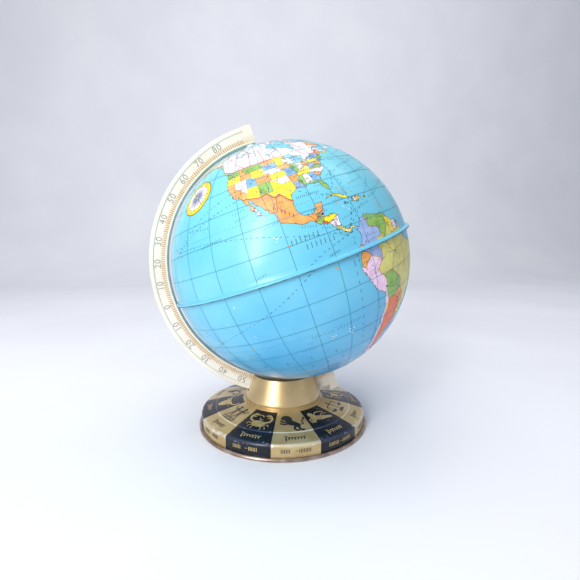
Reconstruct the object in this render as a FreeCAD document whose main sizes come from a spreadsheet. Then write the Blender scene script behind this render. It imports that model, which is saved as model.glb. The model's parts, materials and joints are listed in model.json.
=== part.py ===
import FreeCAD, Part
import math
import os
import Sketcher

# A small tin globe of the Earth. Two crimped hemispheres spin between the ends of a moulded half-ring
# arm, which stands in a conical pedestal on a stamped round base with a rolled hem.
# Origin: centre of the base on the surface it stands on. +Z is up, the north pole leans towards -X,
# and the arm lies in the XZ plane. All sizes are in millimetres.

Vector = FreeCAD.Vector
Placement = FreeCAD.Placement
Rotation = FreeCAD.Rotation

doc = FreeCAD.newDocument("tin_globe")

# ---------------------------------------------------------------- driving dimensions

SIZES = [
    ("tin", 0.5, "sheet thickness of the stamped parts"),
    ("globe_radius", 76.2, "outside of the hemispheres"),
    ("lip_radius", 78.2, "outside of the crimped seam at the equator"),
    ("lip_rise", 1.3, "height at which the seam starts to flare from the north shell"),
    ("lip_drop", 0.75, "depth of the seam's folded skirt"),
    ("lip_bevel", 0.25, "width of the bevel on the lip's upper edge"),
    ("flare_out", 0.6, "how far the flare's knee stands out from the ball"),
    ("flare_z", 0.75, "height of that knee above the equator"),
    ("seam_gap", 0.05, "room between the seam's folded edges"),
    ("tilt", 19.5, "lean of the polar axis from upright, in degrees"),
    ("centre_x", 5.3, "globe's centre from the base's axis"),
    ("centre_z", 108.05, "globe's centre above the table"),
    ("arm_inner", 78.8, "inside radius of the arm"),
    ("arm_outer", 89.7, "outside radius of the arm"),
    ("arm_depth", 8.0, "front to back of the arm"),
    ("web_depth", 6.8, "front to back of the arm's recessed web"),
    ("inner_rim", 0.6, "radial width of the rim beside the globe"),
    ("outer_rim", 2.3, "radial width of the outer rim"),
    ("web_draft", 0.6, "draft of the rims' sides, measured along the radius"),
    ("arm_round", 0.5, "rounding of the arm's long edges"),
    ("north_back", 2.6, "north boss, from the polar axis towards the arm"),
    ("north_front", 3.4, "north boss, from the polar axis to its free side"),
    ("north_outer", 90.0, "outer face of the north boss"),
    ("south_back", 3.4, "south boss, from the polar axis towards the arm"),
    ("south_front", 2.6, "south boss, from the polar axis to its free side"),
    ("south_outer", 92.9, "outer face of the south boss"),
    ("groove_width", 0.5, "moulded line beside each end boss"),
    ("groove_depth", 0.4, "depth of that line"),
    ("groove_low", 1.0, "how far above the inner rim that line starts"),
    ("pin_radius", 1.6, "pivot pins"),
    ("pin_inner", 73.4, "inner tip of the pins, from the globe's centre"),
    ("pin_outer", 88.0, "outer tip of the pins, inside the bosses"),
    ("pin_chamfer", 0.4, "lead on the pins' tips"),
    ("running_gap", 0.06, "radial clearance of the eyelets on the pins"),
    ("press_gap", 0.02, "radial room of the bosses' holes on the pins"),
    ("eyelet_barrel", 2.3, "outside radius of the eyelets' barrels"),
    ("eyelet_flange", 3.6, "outside radius of the eyelets' flanges"),
    ("eyelet_thick", 0.45, "thickness of the eyelets' flanges"),
    ("eyelet_gap", 0.05, "radial room of the shells' holes on the eyelets"),
    ("clench_gap", 0.12, "room between the shell's inside and the eyelet's clenched flange"),
    ("clench_inset", 0.4, "how much narrower the clenched flange is than the outer one"),
    ("spacer_radius", 3.5, "outside radius of the pole spacers"),
    ("thrust_gap", 0.1, "end play between spacer and eyelet"),
    ("base_top", 15.5, "flat top of the base under the pedestal"),
    ("base_top_radius", 27.4, "outer edge of that flat"),
    ("crease_radius", 45.8, "crease between the two printed rings"),
    ("crease_z", 11.55, "height of the crease"),
    ("crease_step", 0.4, "drop of the crease's shoulder"),
    ("crease_run", 0.7, "width of the crease's shoulder"),
    ("crease_inset", 0.1, "how far the sheet's inside corners at the crease sit inwards"),
    ("ridge_radius", 54.9, "outside of the base's upright band"),
    ("ridge_z", 9.2, "top of the upright band, before rounding"),
    ("ridge_round", 1.5, "rounding of the band's top"),
    ("hem_radius", 56.65, "outside of the rolled hem"),
    ("hem_roll", 1.1, "radius of the hem's roll"),
    ("hem_z", 0.95, "height of the roll's middle, a little pressed flat below"),
    ("rim_radius", 20.6, "outside of the pedestal's upper rim"),
    ("rim_z", 32.95, "top of the pedestal"),
    ("waist_radius", 25.75, "pedestal just above its foot"),
    ("waist_z", 18.2, "height of that point"),
    ("waist_round", 2.0, "rounding of the wall there"),
    ("tuck_radius", 25.5, "pedestal's tuck under that point"),
    ("tuck_z", 16.5, "height of the tuck"),
    ("foot_radius", 26.6, "outside of the pedestal's foot bead"),
    ("foot_bead", 0.7, "height of the foot bead"),
    ("slot_gap", 0.25, "room beside the arm in the pedestal's slots"),
    ("slot_left_z", 21.7, "floor of the slot on the north side"),
    ("slot_right_z", 19.6, "floor of the slot on the south side"),
    ("tab_inner", 24.75, "inner face of the pedestal's tabs, under its wall"),
    ("tab_width", 6.0, "width of the pedestal's tabs"),
    ("tab_length", 4.0, "length of each tab's bent end"),
    ("tab_gap", 0.2, "room around each tab in its slot"),
    ("fold_gap", 0.05, "room between a bent tab and the base"),
    ("tab_count", 3, "number of tabs"),
    ("block_half", 9.0, "half length of the arm's foot block"),
    ("block_top", 27.0, "top of the foot block, inside the arm's section"),
    ("screw_radius", 1.5, "foot screw's shank"),
    ("screw_gap", 0.05, "radial room of the block's hole on the screw"),
    ("screw_tip", 24.5, "height of the screw's tip"),
    ("screw_point", 2.0, "length of the screw's pointed end"),
    ("screw_room", 0.5, "depth of the block's hole past the screw's tip"),
    ("screw_hole", 2.2, "radius of the holes that the screw passes through"),
    ("head_radius", 3.2, "foot screw's head"),
    ("head_height", 2.2, "height of that head"),
    ("head_bevel", 0.7, "bevel under that head"),
    ("head_slot", 0.9, "width of the head's driver slot"),
    ("head_slot_depth", 1.0, "depth of that slot"),
    ("washer_radius", 8.0, "large washer under the base"),
    ("washer_thick", 1.0, "its thickness"),
    ("lock_radius", 3.1, "lock washer under the screw's head"),
    ("lock_thick", 0.8, "its thickness"),
    ("lock_gap", 0.1, "its radial room on the screw"),
    ("overrun", 5.0, "how far a cut runs past what it cuts"),
]

sheet = doc.addObject("Spreadsheet::Sheet", "Sizes")
for row, (alias, value, meaning) in enumerate(SIZES, start=1):
    sheet.set("A%d" % row, meaning)
    sheet.set("B%d" % row, str(value))
    sheet.setAlias("B%d" % row, alias)
doc.recompute()


def size(alias):
    """The value of one cell."""
    return float(getattr(sheet, alias))


def cells(formula):
    """The formula with each alias turned into a reference to its cell."""
    words = formula
    for alias in sorted((row[0] for row in SIZES), key=len, reverse=True):
        words = words.replace("@" + alias, "Sizes." + alias)
    return words


def worked_out(formula):
    """The formula's value now."""
    return float(sheet.evalExpression(cells(formula)))


# ---------------------------------------------------------------- frames

def globe_frame(flip=False):
    """Centre of the globe, +Z along the polar axis to the north, or to the south if flipped."""
    centre = Vector(size("centre_x"), 0, size("centre_z"))
    lean = Rotation(Vector(0, 1, 0), -size("tilt"))
    if flip:
        lean = lean.multiply(Rotation(Vector(1, 0, 0), 180))
    return Placement(centre, lean)


def seen_from_globe(x, z):
    """Formulas, in the globe's frame, for a point given in the XZ plane of the whole model."""
    along = "(%s - @centre_x)" % x
    up = "(%s - @centre_z)" % z
    cosine = "cos(@tilt * 1 deg)"
    sine = "sin(@tilt * 1 deg)"
    return (
        "%s * %s + %s * %s" % (along, cosine, up, sine),
        "%s * %s - %s * %s" % (up, cosine, along, sine),
    )


# ---------------------------------------------------------------- sketch helpers

def new_body(label):
    """An empty body with its label."""
    body = doc.addObject("PartDesign::Body", label)
    body.Label = label
    return body


def new_sketch(body, name, plane):
    """A sketch on one of the body's own origin planes."""
    sketch = body.newObject("Sketcher::SketchObject", name)
    support = [item for item in body.Origin.OriginFeatures if item.Role == plane]
    sketch.AttachmentSupport = [(support[0], "")]
    sketch.MapMode = "FlatFace"
    return sketch


def bind(sketch, constraint, formula):
    """Adds a constraint that takes its value from the sheet."""
    index = sketch.addConstraint(constraint)
    sketch.setExpression("Constraints[%d]" % index, cells(formula))


def hold_point(sketch, edge, end, across, up, held):
    """Places one end of an edge by formulas; held names the coordinates that are fixed."""
    if "x" in held:
        bind(sketch, Sketcher.Constraint("DistanceX", -1, 1, edge, end, worked_out(across)), across)
    if "y" in held:
        bind(sketch, Sketcher.Constraint("DistanceY", -1, 1, edge, end, worked_out(up)), up)


def outline(sketch, corners, arcs=None):
    """A closed outline. A corner is (across, up) or (across, up, held), all formulas.

    arcs maps an edge's number to (radius, turn): that edge is an arc about the origin,
    and turn is +1 anticlockwise or -1 clockwise.
    """
    arcs = arcs or {}
    points = [Vector(worked_out(item[0]), worked_out(item[1]), 0) for item in corners]
    count = len(points)
    starts = []
    ends = []
    for i in range(count):
        here = points[i]
        there = points[(i + 1) % count]
        if i in arcs:
            radius, turn = arcs[i]
            circle = Part.Circle(Vector(0, 0, 0), Vector(0, 0, 1), worked_out(radius))
            first, last = (here, there) if turn > 0 else (there, here)
            angles = [math.atan2(p.y, p.x) for p in (first, last)]
            sketch.addGeometry(Part.ArcOfCircle(circle, angles[0], angles[1]), False)
            starts.append(1 if turn > 0 else 2)
            ends.append(2 if turn > 0 else 1)
        else:
            sketch.addGeometry(Part.LineSegment(here, there), False)
            starts.append(1)
            ends.append(2)
    for i in range(count):
        after = (i + 1) % count
        sketch.addConstraint(Sketcher.Constraint("Coincident", i, ends[i], after, starts[after]))
    for i, (radius, turn) in arcs.items():
        sketch.addConstraint(Sketcher.Constraint("Coincident", i, 3, -1, 1))
        bind(sketch, Sketcher.Constraint("Radius", i, worked_out(radius)), radius)
    for i, item in enumerate(corners):
        held = item[2] if len(item) > 2 else "xy"
        hold_point(sketch, i, starts[i], item[0], item[1], held)


def box_outline(sketch, low_across, low_up, high_across, high_up):
    """A rectangle between two opposite corners."""
    outline(sketch, [
        (low_across, low_up), (high_across, low_up), (high_across, high_up), (low_across, high_up)])


def circle_outline(sketch, radius):
    """A circle about the origin."""
    sketch.addGeometry(Part.Circle(Vector(0, 0, 0), Vector(0, 0, 1), worked_out(radius)), False)
    sketch.addConstraint(Sketcher.Constraint("Coincident", 0, 3, -1, 1))
    bind(sketch, Sketcher.Constraint("Radius", 0, worked_out(radius)), radius)


# ---------------------------------------------------------------- feature helpers

def revolve(body, name, sketch, axis="V_Axis", angle=360.0, kind="PartDesign::Revolution", back=False):
    """Turns a sketch about one of its axes, to add or to remove material."""
    feature = body.newObject(kind, name)
    feature.Profile = (sketch, [""])
    feature.ReferenceAxis = (sketch, [axis])
    feature.Angle = angle
    feature.Reversed = back
    doc.recompute()
    return feature


def prism(body, name, sketch, length, kind="PartDesign::Pad", both=False, back=False):
    """Pushes a sketch along its normal, to add or to remove material."""
    feature = body.newObject(kind, name)
    feature.Profile = (sketch, [""])
    feature.setExpression("Length", cells(length))
    feature.Midplane = both
    feature.Reversed = back
    doc.recompute()
    return feature


def must_shrink(before, feature):
    """Stops if a cut took nothing away."""
    if feature.Shape.Volume > before - 1e-3:
        raise RuntimeError(feature.Label + " cuts nothing")


def cut_prism(body, name, sketch, length, both=False, back=False):
    """A pocket that is known to remove material."""
    before = body.Shape.Volume
    feature = prism(body, name, sketch, length, "PartDesign::Pocket", both, back)
    must_shrink(before, feature)
    return feature


def round_edges(body, name, radius, chosen, kind="PartDesign::Fillet"):
    """Rounds the edges of the body's last feature that chosen(edge) picks."""
    tip = body.Tip
    names = ["Edge%d" % (i + 1) for i, edge in enumerate(tip.Shape.Edges) if chosen(edge)]
    if not names:
        raise RuntimeError(name + " finds no edge")
    feature = body.newObject(kind, name)
    feature.Base = (tip, names)
    if kind == "PartDesign::Fillet":
        feature.setExpression("Radius", cells(radius))
    else:
        feature.setExpression("Size", cells(radius))
    doc.recompute()
    return feature


def ring_edge(edge, radius, height, slack=0.02):
    """True for a circle about Z with this radius at this height."""
    if not isinstance(edge.Curve, Part.Circle):
        return False
    centre = edge.Curve.Center
    on_axis = math.hypot(centre.x, centre.y) < slack
    return on_axis and abs(edge.Curve.Radius - radius) < slack and abs(centre.z - height) < slack


def face_ring(edge, radii, depth, slack=0.02):
    """True for a circle about Y with one of these radii, this far in front of or behind the middle."""
    if not isinstance(edge.Curve, Part.Circle) or abs(edge.Curve.Axis.y) < 0.99:
        return False
    fits = any(abs(edge.Curve.Radius - radius) < slack for radius in radii)
    return fits and abs(abs(edge.Curve.Center.y) - depth) < slack


def turned(label, corners, frame=None):
    """A body of revolution about Z from an outline of (radius, height) corners."""
    body = new_body(label)
    sketch = new_sketch(body, label + "_section", "XZ_Plane")
    outline(sketch, corners)
    revolve(body, label + "_turned", sketch)
    if frame:
        body.Placement = frame
    return body


# ---------------------------------------------------------------- base

def make_base():
    """Stamped dish: flat top, two sloping rings with a crease between, upright band, rolled hem."""
    body = new_body("zodiac_base")
    section = new_sketch(body, "base_section", "XZ_Plane")
    inner_ring_end = "@crease_radius - @crease_run"
    inner_ring_z = "@crease_z + @crease_step"
    outline(section, [
        ("@screw_hole", "@base_top"),
        ("@base_top_radius", "@base_top"),
        (inner_ring_end, inner_ring_z),
        ("@crease_radius", "@crease_z"),
        ("@ridge_radius", "@ridge_z"),
        ("@ridge_radius", "@hem_z"),
        ("@ridge_radius - @tin", "@hem_z"),
        ("@ridge_radius - @tin", "@ridge_z - @tin"),
        ("@crease_radius - @crease_inset", "@crease_z - @tin"),
        (inner_ring_end + " - @crease_inset", inner_ring_z + " - @tin"),
        ("@base_top_radius", "@base_top - @tin"),
        ("@screw_hole", "@base_top - @tin"),
    ])
    revolve(body, "base_dish", section)

    ridge = size("ridge_radius")
    top = size("ridge_z")
    tin = size("tin")
    round_edges(body, "ridge_rounding", "@ridge_round", lambda e: ring_edge(e, ridge, top))
    round_edges(
        body, "ridge_inside", "@ridge_round - @tin", lambda e: ring_edge(e, ridge - tin, top - tin))

    roll = new_sketch(body, "hem_section", "XZ_Plane")
    radius = size("hem_roll")
    middle = Vector(size("hem_radius") - radius, size("hem_z"), 0)
    half_flat = math.sqrt(radius ** 2 - size("hem_z") ** 2)
    flat_angle = math.atan2(-size("hem_z"), half_flat)
    circle = Part.Circle(middle, Vector(0, 0, 1), radius)
    roll.addGeometry(Part.ArcOfCircle(circle, flat_angle, math.pi - flat_angle), False)
    left = Vector(middle.x - half_flat, 0, 0)
    right = Vector(middle.x + half_flat, 0, 0)
    roll.addGeometry(Part.LineSegment(left, right), False)
    roll.addConstraint(Sketcher.Constraint("Coincident", 0, 2, 1, 1))
    roll.addConstraint(Sketcher.Constraint("Coincident", 1, 2, 0, 1))
    roll.addConstraint(Sketcher.Constraint("PointOnObject", 1, 1, -1))
    roll.addConstraint(Sketcher.Constraint("PointOnObject", 1, 2, -1))
    bind(roll, Sketcher.Constraint("Radius", 0, radius), "@hem_roll")
    hold_point(roll, 0, 3, "@hem_radius - @hem_roll", "@hem_z", "xy")
    revolve(body, "hem", roll)

    slots = new_sketch(body, "tab_slot_outline", "XY_Plane")
    box_outline(
        slots, "@tab_inner - @tab_gap", "-@tab_width / 2 - @tab_gap",
        "@tab_inner + @tin + @tab_gap", "@tab_width / 2 + @tab_gap")
    cut = cut_prism(body, "tab_slot", slots, "2 * @base_top + @overrun", both=True)
    repeat_round(body, "tab_slots", cut)
    return body


def repeat_round(body, name, feature):
    """Repeats a feature round the body's Z axis, once for each tab, and makes it the body's tip."""
    axis = [item for item in body.Origin.OriginFeatures if item.Role == "Z_Axis"][0]
    pattern = body.newObject("PartDesign::PolarPattern", name)
    pattern.Originals = [feature]
    pattern.Axis = (axis, [""])
    pattern.Angle = 360
    pattern.setExpression("Occurrences", "Sizes.tab_count")
    body.Tip = pattern
    doc.recompute()
    return pattern


# ---------------------------------------------------------------- pedestal

def make_pedestal():
    """Spun conical shell with a foot bead, a slot each side for the arm, and bent tabs."""
    body = new_body("pedestal_cone")
    section = new_sketch(body, "cone_section", "XZ_Plane")
    outline(section, [
        ("@rim_radius", "@rim_z"),
        ("@waist_radius", "@waist_z"),
        ("@tuck_radius", "@tuck_z"),
        ("@foot_radius", "@base_top + @foot_bead"),
        ("@foot_radius", "@base_top"),
        ("@tuck_radius - @tin", "@base_top"),
        ("@tuck_radius - @tin", "@tuck_z"),
        ("@waist_radius - @tin", "@waist_z"),
        ("@rim_radius - @tin", "@rim_z"),
    ])
    revolve(body, "cone_wall", section)
    waist = size("waist_radius")
    waist_z = size("waist_z")
    round_edges(body, "waist_rounding", "@waist_round", lambda e: ring_edge(e, waist, waist_z))

    half_slot = "(@arm_depth / 2 + @slot_gap)"
    for name, floor, back in (("north_slot", "@slot_left_z", False), ("south_slot", "@slot_right_z", True)):
        slot = new_sketch(body, name + "_outline", "YZ_Plane")
        box_outline(slot, "-" + half_slot, floor, half_slot, "@rim_z + @overrun")
        cut_prism(body, name, slot, "@foot_radius + @overrun", back=back)

    stem = new_sketch(body, "tab_stem_outline", "XZ_Plane")
    under = "@base_top - @tin - @fold_gap"
    outline(stem, [
        ("@tab_inner", "@base_top + @foot_bead"),
        ("@tab_inner", under),
        ("@tab_inner - @tab_length", under),
        ("@tab_inner - @tab_length", under + " - @tin"),
        ("@tab_inner + @tin", under + " - @tin"),
        ("@tab_inner + @tin", "@base_top + @foot_bead"),
    ])
    tab = prism(body, "tab", stem, "@tab_width", both=True)
    repeat_round(body, "tabs", tab)
    return body


# ---------------------------------------------------------------- arm

def make_arm():
    """Moulded half ring of I section, with a pin boss at each end and a foot block under it."""
    body = new_body("meridian_arm")
    half = "@arm_depth / 2"
    web = "@web_depth / 2"
    inner_top = "@arm_inner + @inner_rim"
    outer_low = "@arm_outer - @outer_rim"
    slope = "@web_draft"
    section = new_sketch(body, "arm_section", "YZ_Plane")
    right_side = [
        (half, "@arm_inner"),
        (half, inner_top),
        (web, inner_top + " + " + slope),
        (web, outer_low + " - " + slope),
        (half, outer_low),
        (half, "@arm_outer"),
    ]
    left_side = [("-" + across, up) for across, up in reversed(right_side)]
    outline(section, right_side + left_side)
    revolve(body, "half_ring", section, axis="H_Axis", angle=180.0, back=True)
    if body.Shape.CenterOfMass.x > 0:
        raise RuntimeError("the half ring lies on the wrong side")
    rim_radii = (size("arm_inner"), size("arm_outer"))
    round_edges(body, "arm_rounding", "@arm_round", lambda e: face_ring(e, rim_radii, size("arm_depth") / 2))

    for pole, low, high in (
            ("north", "@arm_inner", "@north_outer"),
            ("south", "-@south_outer", "-@arm_inner")):
        boss = new_sketch(body, pole + "_boss_outline", "XZ_Plane")
        box_outline(boss, "-@%s_back" % pole, low, "@%s_front" % pole, high)
        prism(body, pole + "_boss", boss, "@arm_depth", both=True)

    foot = new_sketch(body, "foot_block_outline", "XZ_Plane")
    outline(foot, [
        seen_from_globe("-@block_half", "@base_top"),
        seen_from_globe("@block_half", "@base_top"),
        seen_from_globe("@block_half", "@block_top"),
        seen_from_globe("-@block_half", "@block_top"),
    ])
    prism(body, "foot_block", foot, "@arm_depth", both=True)

    pin_hole = new_sketch(body, "pin_hole_outline", "XY_Plane")
    circle_outline(pin_hole, "@pin_radius + @press_gap")
    cut_prism(body, "pin_holes", pin_hole, "2 * @pin_outer", both=True)

    screw_hole = new_sketch(body, "screw_hole_section", "XZ_Plane")
    hole_radius = "(@screw_radius + @screw_gap)"
    outline(screw_hole, [
        seen_from_globe("0", "(@base_top - @overrun)"),
        seen_from_globe(hole_radius, "(@base_top - @overrun)"),
        seen_from_globe(hole_radius, "(@screw_tip + @screw_room)"),
        seen_from_globe("0", "(@screw_tip + @screw_room)"),
    ])
    low = Vector(*[worked_out(item) for item in seen_from_globe("0", "(@base_top - @overrun)")], 0)
    high = Vector(*[worked_out(item) for item in seen_from_globe("0", "(@screw_tip + @screw_room)")], 0)
    screw_hole.addGeometry(Part.LineSegment(low, high), True)
    screw_hole.addConstraint(Sketcher.Constraint("Coincident", 4, 1, 0, 1))
    screw_hole.addConstraint(Sketcher.Constraint("Coincident", 4, 2, 3, 1))
    before = body.Shape.Volume
    hole = revolve(body, "screw_hole_cut", screw_hole, axis="Axis0", kind="PartDesign::Groove")
    must_shrink(before, hole)

    line_low = "(%s + @groove_low)" % inner_top
    for pole, low, high in (("north", line_low, "@arm_outer"), ("south", "-@arm_outer", "-" + line_low)):
        name = pole + "_line"
        start = "-@%s_back" % pole
        for side, sign in (("front", ""), ("rear", "-")):
            line = new_sketch(body, "%s_%s_outline" % (name, side), "XZ_Plane")
            box_outline(line, start, low, start + " + @groove_width", high)
            lift = sign + "(@arm_depth / 2 - @groove_depth)"
            line.setExpression("AttachmentOffset.Base.z", cells(lift))
            cut_prism(body, "%s_%s" % (name, side), line, "2 * @groove_depth", back=side == "front")

    body.Placement = globe_frame()
    return body


# ---------------------------------------------------------------- globe shells

def make_hemisphere(label, flip):
    """Drawn half shell. The north one's edge flares out and folds down over the south one's flange."""
    body = new_body(label)
    section = new_sketch(body, label + "_section", "XZ_Plane")
    hole = "@eyelet_barrel + @eyelet_gap"
    radius = "@globe_radius"
    inside = "(@globe_radius - @tin)"
    pole = (hole, "sqrt(%s ^ 2 - (%s) ^ 2)" % (radius, hole), "x")
    pole_inside = (hole, "sqrt(%s ^ 2 - (%s) ^ 2)" % (inside, hole), "x")
    equator_inside = (inside, "0", "y")
    if flip:
        seam = [
            ("sqrt(%s ^ 2 - @tin ^ 2)" % radius, "@tin", "y"),
            ("@lip_radius - @tin - @seam_gap", "@tin"),
            ("@lip_radius - @tin - @seam_gap", "0"),
        ]
    else:
        seam = [
            ("sqrt(%s ^ 2 - @lip_rise ^ 2)" % radius, "@lip_rise", "y"),
            ("@globe_radius + @flare_out", "@flare_z"),
            ("@lip_radius - @lip_bevel", "@tin"),
            ("@lip_radius", "@tin / 2"),
            ("@lip_radius", "-@lip_drop"),
            ("@lip_radius - @tin", "-@lip_drop"),
            ("@lip_radius - @tin", "0"),
        ]
    corners = [pole] + seam + [equator_inside, pole_inside]
    outline(section, corners, arcs={0: (radius, -1), len(corners) - 2: (inside, 1)})
    revolve(body, label + "_shell", section)
    body.Placement = globe_frame(flip)
    return body


# ---------------------------------------------------------------- pivots

def make_pivot(pole, flip):
    """Pin pressed in the boss, eyelet in the shell, and the spacer between them, at one pole."""
    frame = globe_frame(flip)
    tip = "@pin_radius - @pin_chamfer"
    pin = turned(pole + "_pivot_pin", [
        ("0", "@pin_inner"),
        (tip, "@pin_inner"),
        ("@pin_radius", "@pin_inner + @pin_chamfer"),
        ("@pin_radius", "@pin_outer - @pin_chamfer"),
        (tip, "@pin_outer"),
        ("0", "@pin_outer"),
    ], frame)
    bore = "@pin_radius + @running_gap"
    inside_z = "@globe_radius - @tin - @clench_gap"
    eyelet = turned(pole + "_eyelet", [
        (bore, "@globe_radius + @eyelet_thick"),
        ("@eyelet_flange", "@globe_radius + @eyelet_thick"),
        ("@eyelet_flange", "@globe_radius"),
        ("@eyelet_barrel", "@globe_radius"),
        ("@eyelet_barrel", inside_z),
        ("@eyelet_flange - @clench_inset", inside_z),
        ("@eyelet_flange - @clench_inset", inside_z + " - @eyelet_thick"),
        (bore, inside_z + " - @eyelet_thick"),
    ], frame)
    low = "@globe_radius + @eyelet_thick + @thrust_gap"
    spacer = turned(pole + "_spacer", [
        (bore, low),
        ("@spacer_radius", low),
        ("@spacer_radius", "@arm_inner - @thrust_gap"),
        (bore, "@arm_inner - @thrust_gap"),
    ], frame)
    return [pin, eyelet, spacer]


# ---------------------------------------------------------------- foot screw

def make_fastening():
    """Screw up through the base into the arm's foot block, with its two washers."""
    under = "@base_top - @tin"
    washer_low = under + " - @washer_thick"
    lock_low = washer_low + " - @lock_thick"
    head_low = lock_low + " - @head_height"
    washer = turned("foot_washer", [
        ("@screw_hole", washer_low),
        ("@washer_radius", washer_low),
        ("@washer_radius", under),
        ("@screw_hole", under),
    ])
    lock = turned("lock_washer", [
        ("@screw_radius + @lock_gap", lock_low),
        ("@lock_radius", lock_low),
        ("@lock_radius", washer_low),
        ("@screw_radius + @lock_gap", washer_low),
    ])
    screw = turned("foot_screw", [
        ("0", head_low),
        ("@head_radius - @head_bevel", head_low),
        ("@head_radius", head_low + " + @head_bevel"),
        ("@head_radius", lock_low),
        ("@screw_radius", lock_low),
        ("@screw_radius", "@screw_tip - @screw_point"),
        ("0", "@screw_tip"),
    ])
    slot = new_sketch(screw, "driver_slot_outline", "XZ_Plane")
    slot_top = head_low + " + @head_slot_depth"
    box_outline(slot, "-@head_slot / 2", head_low + " - @overrun", "@head_slot / 2", slot_top)
    cut_prism(screw, "driver_slot", slot, "3 * @head_radius", both=True)
    return [washer, lock, screw]


# ---------------------------------------------------------------- build, check and write

parts = [make_base(), make_pedestal(), make_arm()]
parts.append(make_hemisphere("north_hemisphere", False))
parts.append(make_hemisphere("south_hemisphere", True))
parts += make_pivot("north", False)
parts += make_pivot("south", True)
parts += make_fastening()
doc.recompute()

failed = [item.Label for item in doc.Objects if "Invalid" in item.State or "Error" in item.State]
if failed:
    raise RuntimeError("failed objects: " + ", ".join(failed))
for part in parts:
    if part.Shape.isNull() or not part.Shape.isValid() or len(part.Shape.Solids) < 1:
        raise RuntimeError(part.Label + " has no valid solid")

os.makedirs("parts", exist_ok=True)
for part in parts:
    part.Shape.exportStep(os.path.join("parts", part.Label + ".step"))
    print("%-18s %10.1f mm3  solids %d" % (part.Label, part.Shape.Volume, len(part.Shape.Solids)))
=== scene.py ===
# A small tin globe of the Earth on a round base printed with twelve signs.
# Everything is in metres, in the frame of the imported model: Z up, the base's axis at X = Y = 0.

import json
import math
import random

import bmesh
import bpy
import numpy
from mathutils import Matrix, Vector
from mathutils.geometry import delaunay_2d_cdt


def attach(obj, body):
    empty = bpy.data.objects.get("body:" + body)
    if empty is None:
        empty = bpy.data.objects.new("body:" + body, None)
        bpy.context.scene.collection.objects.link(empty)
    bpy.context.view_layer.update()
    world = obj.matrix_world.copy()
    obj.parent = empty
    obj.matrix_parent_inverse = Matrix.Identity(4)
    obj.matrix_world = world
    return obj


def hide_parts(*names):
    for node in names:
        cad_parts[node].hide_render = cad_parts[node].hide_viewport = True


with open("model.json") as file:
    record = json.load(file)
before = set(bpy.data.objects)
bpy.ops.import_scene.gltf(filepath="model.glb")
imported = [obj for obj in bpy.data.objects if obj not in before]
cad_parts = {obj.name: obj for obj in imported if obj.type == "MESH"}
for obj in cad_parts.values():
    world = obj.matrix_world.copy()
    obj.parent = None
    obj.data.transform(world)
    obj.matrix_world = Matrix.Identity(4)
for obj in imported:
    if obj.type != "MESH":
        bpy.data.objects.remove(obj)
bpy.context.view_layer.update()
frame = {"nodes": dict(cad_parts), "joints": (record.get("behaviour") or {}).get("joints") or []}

MM = 0.001
FULL_TURN = 2 * math.pi

# ---------------------------------------------------------------- driving sizes

TIN = 0.5 * MM                      # sheet thickness
GLOBE_RADIUS = 76.2 * MM
POLE_HOLE = 2.3 * MM                # hole in each hemisphere for its eyelet's barrel
ARM_TICKS = 80.2 * MM               # inner ends of the arm's degree marks
ARM_NUMERALS = 82.9 * MM            # foot of the arm's numerals
ARM_FACE = 3.4 * MM                 # the arm's web, from its middle plane
DEGREE_TURN = 0.945                 # how far apart the arm's degree marks really are
CREASE_RADIUS = 45.8 * MM           # between the base's two printed rings
CREASE_Z = 11.55 * MM
RIDGE_RADIUS = 54.9 * MM            # outside of the base's upright band
RIDGE_Z = 9.2 * MM
RIDGE_ROUND = 1.5 * MM
HEM_Z = 0.95 * MM
FLAT_Z = 15.5 * MM                  # the base's flat middle, under the pedestal
SCREW_HOLE = 2.2 * MM
PANELS = 12
PANEL_TURN = 360 / PANELS
FIRST_PANEL = -165.5                # where the twins' panel starts, in degrees from +X

MAP_TURN = 187.5                    # puts the meridian 172.5 degrees east behind the arm
SOUTH_SHIFT = 2.4                   # degrees by which the seam pushes the southern print down
NORTH_EDGE = 0.98                   # lowest printed latitude of the northern half
SOUTH_EDGE = 1.85                   # highest printed latitude of the southern half
POLE_EDGE = 88.2                    # the print ends here, under the eyelets
FINE = 2.5                          # the map's mesh, in degrees
COAST_STEP = 0.8                    # longest run of a coast, in degrees
COAST_WIGGLE = 0.16                 # how far it wanders, as a share of each run
BORDER_STEP = 1.6
BORDER_WIGGLE = 0.1

INK = 0.03 * MM                     # how far each print lies above the tin
LINE = 0.05 * MM
MARK = 0.07 * MM

# ---------------------------------------------------------------- the globe's own directions

spin = next(joint for joint in frame["joints"] if joint["name"] == "globe_spin")
CENTRE = Vector(spin["pos_m"])
NORTH = Vector(spin["axis"]).normalized()
SIDE = Vector((0, 1, 0))
AWAY = SIDE.cross(NORTH)            # from the arm's middle towards the globe's free side

# ---------------------------------------------------------------- the map
# Outlines in degrees, east then north.

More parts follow.
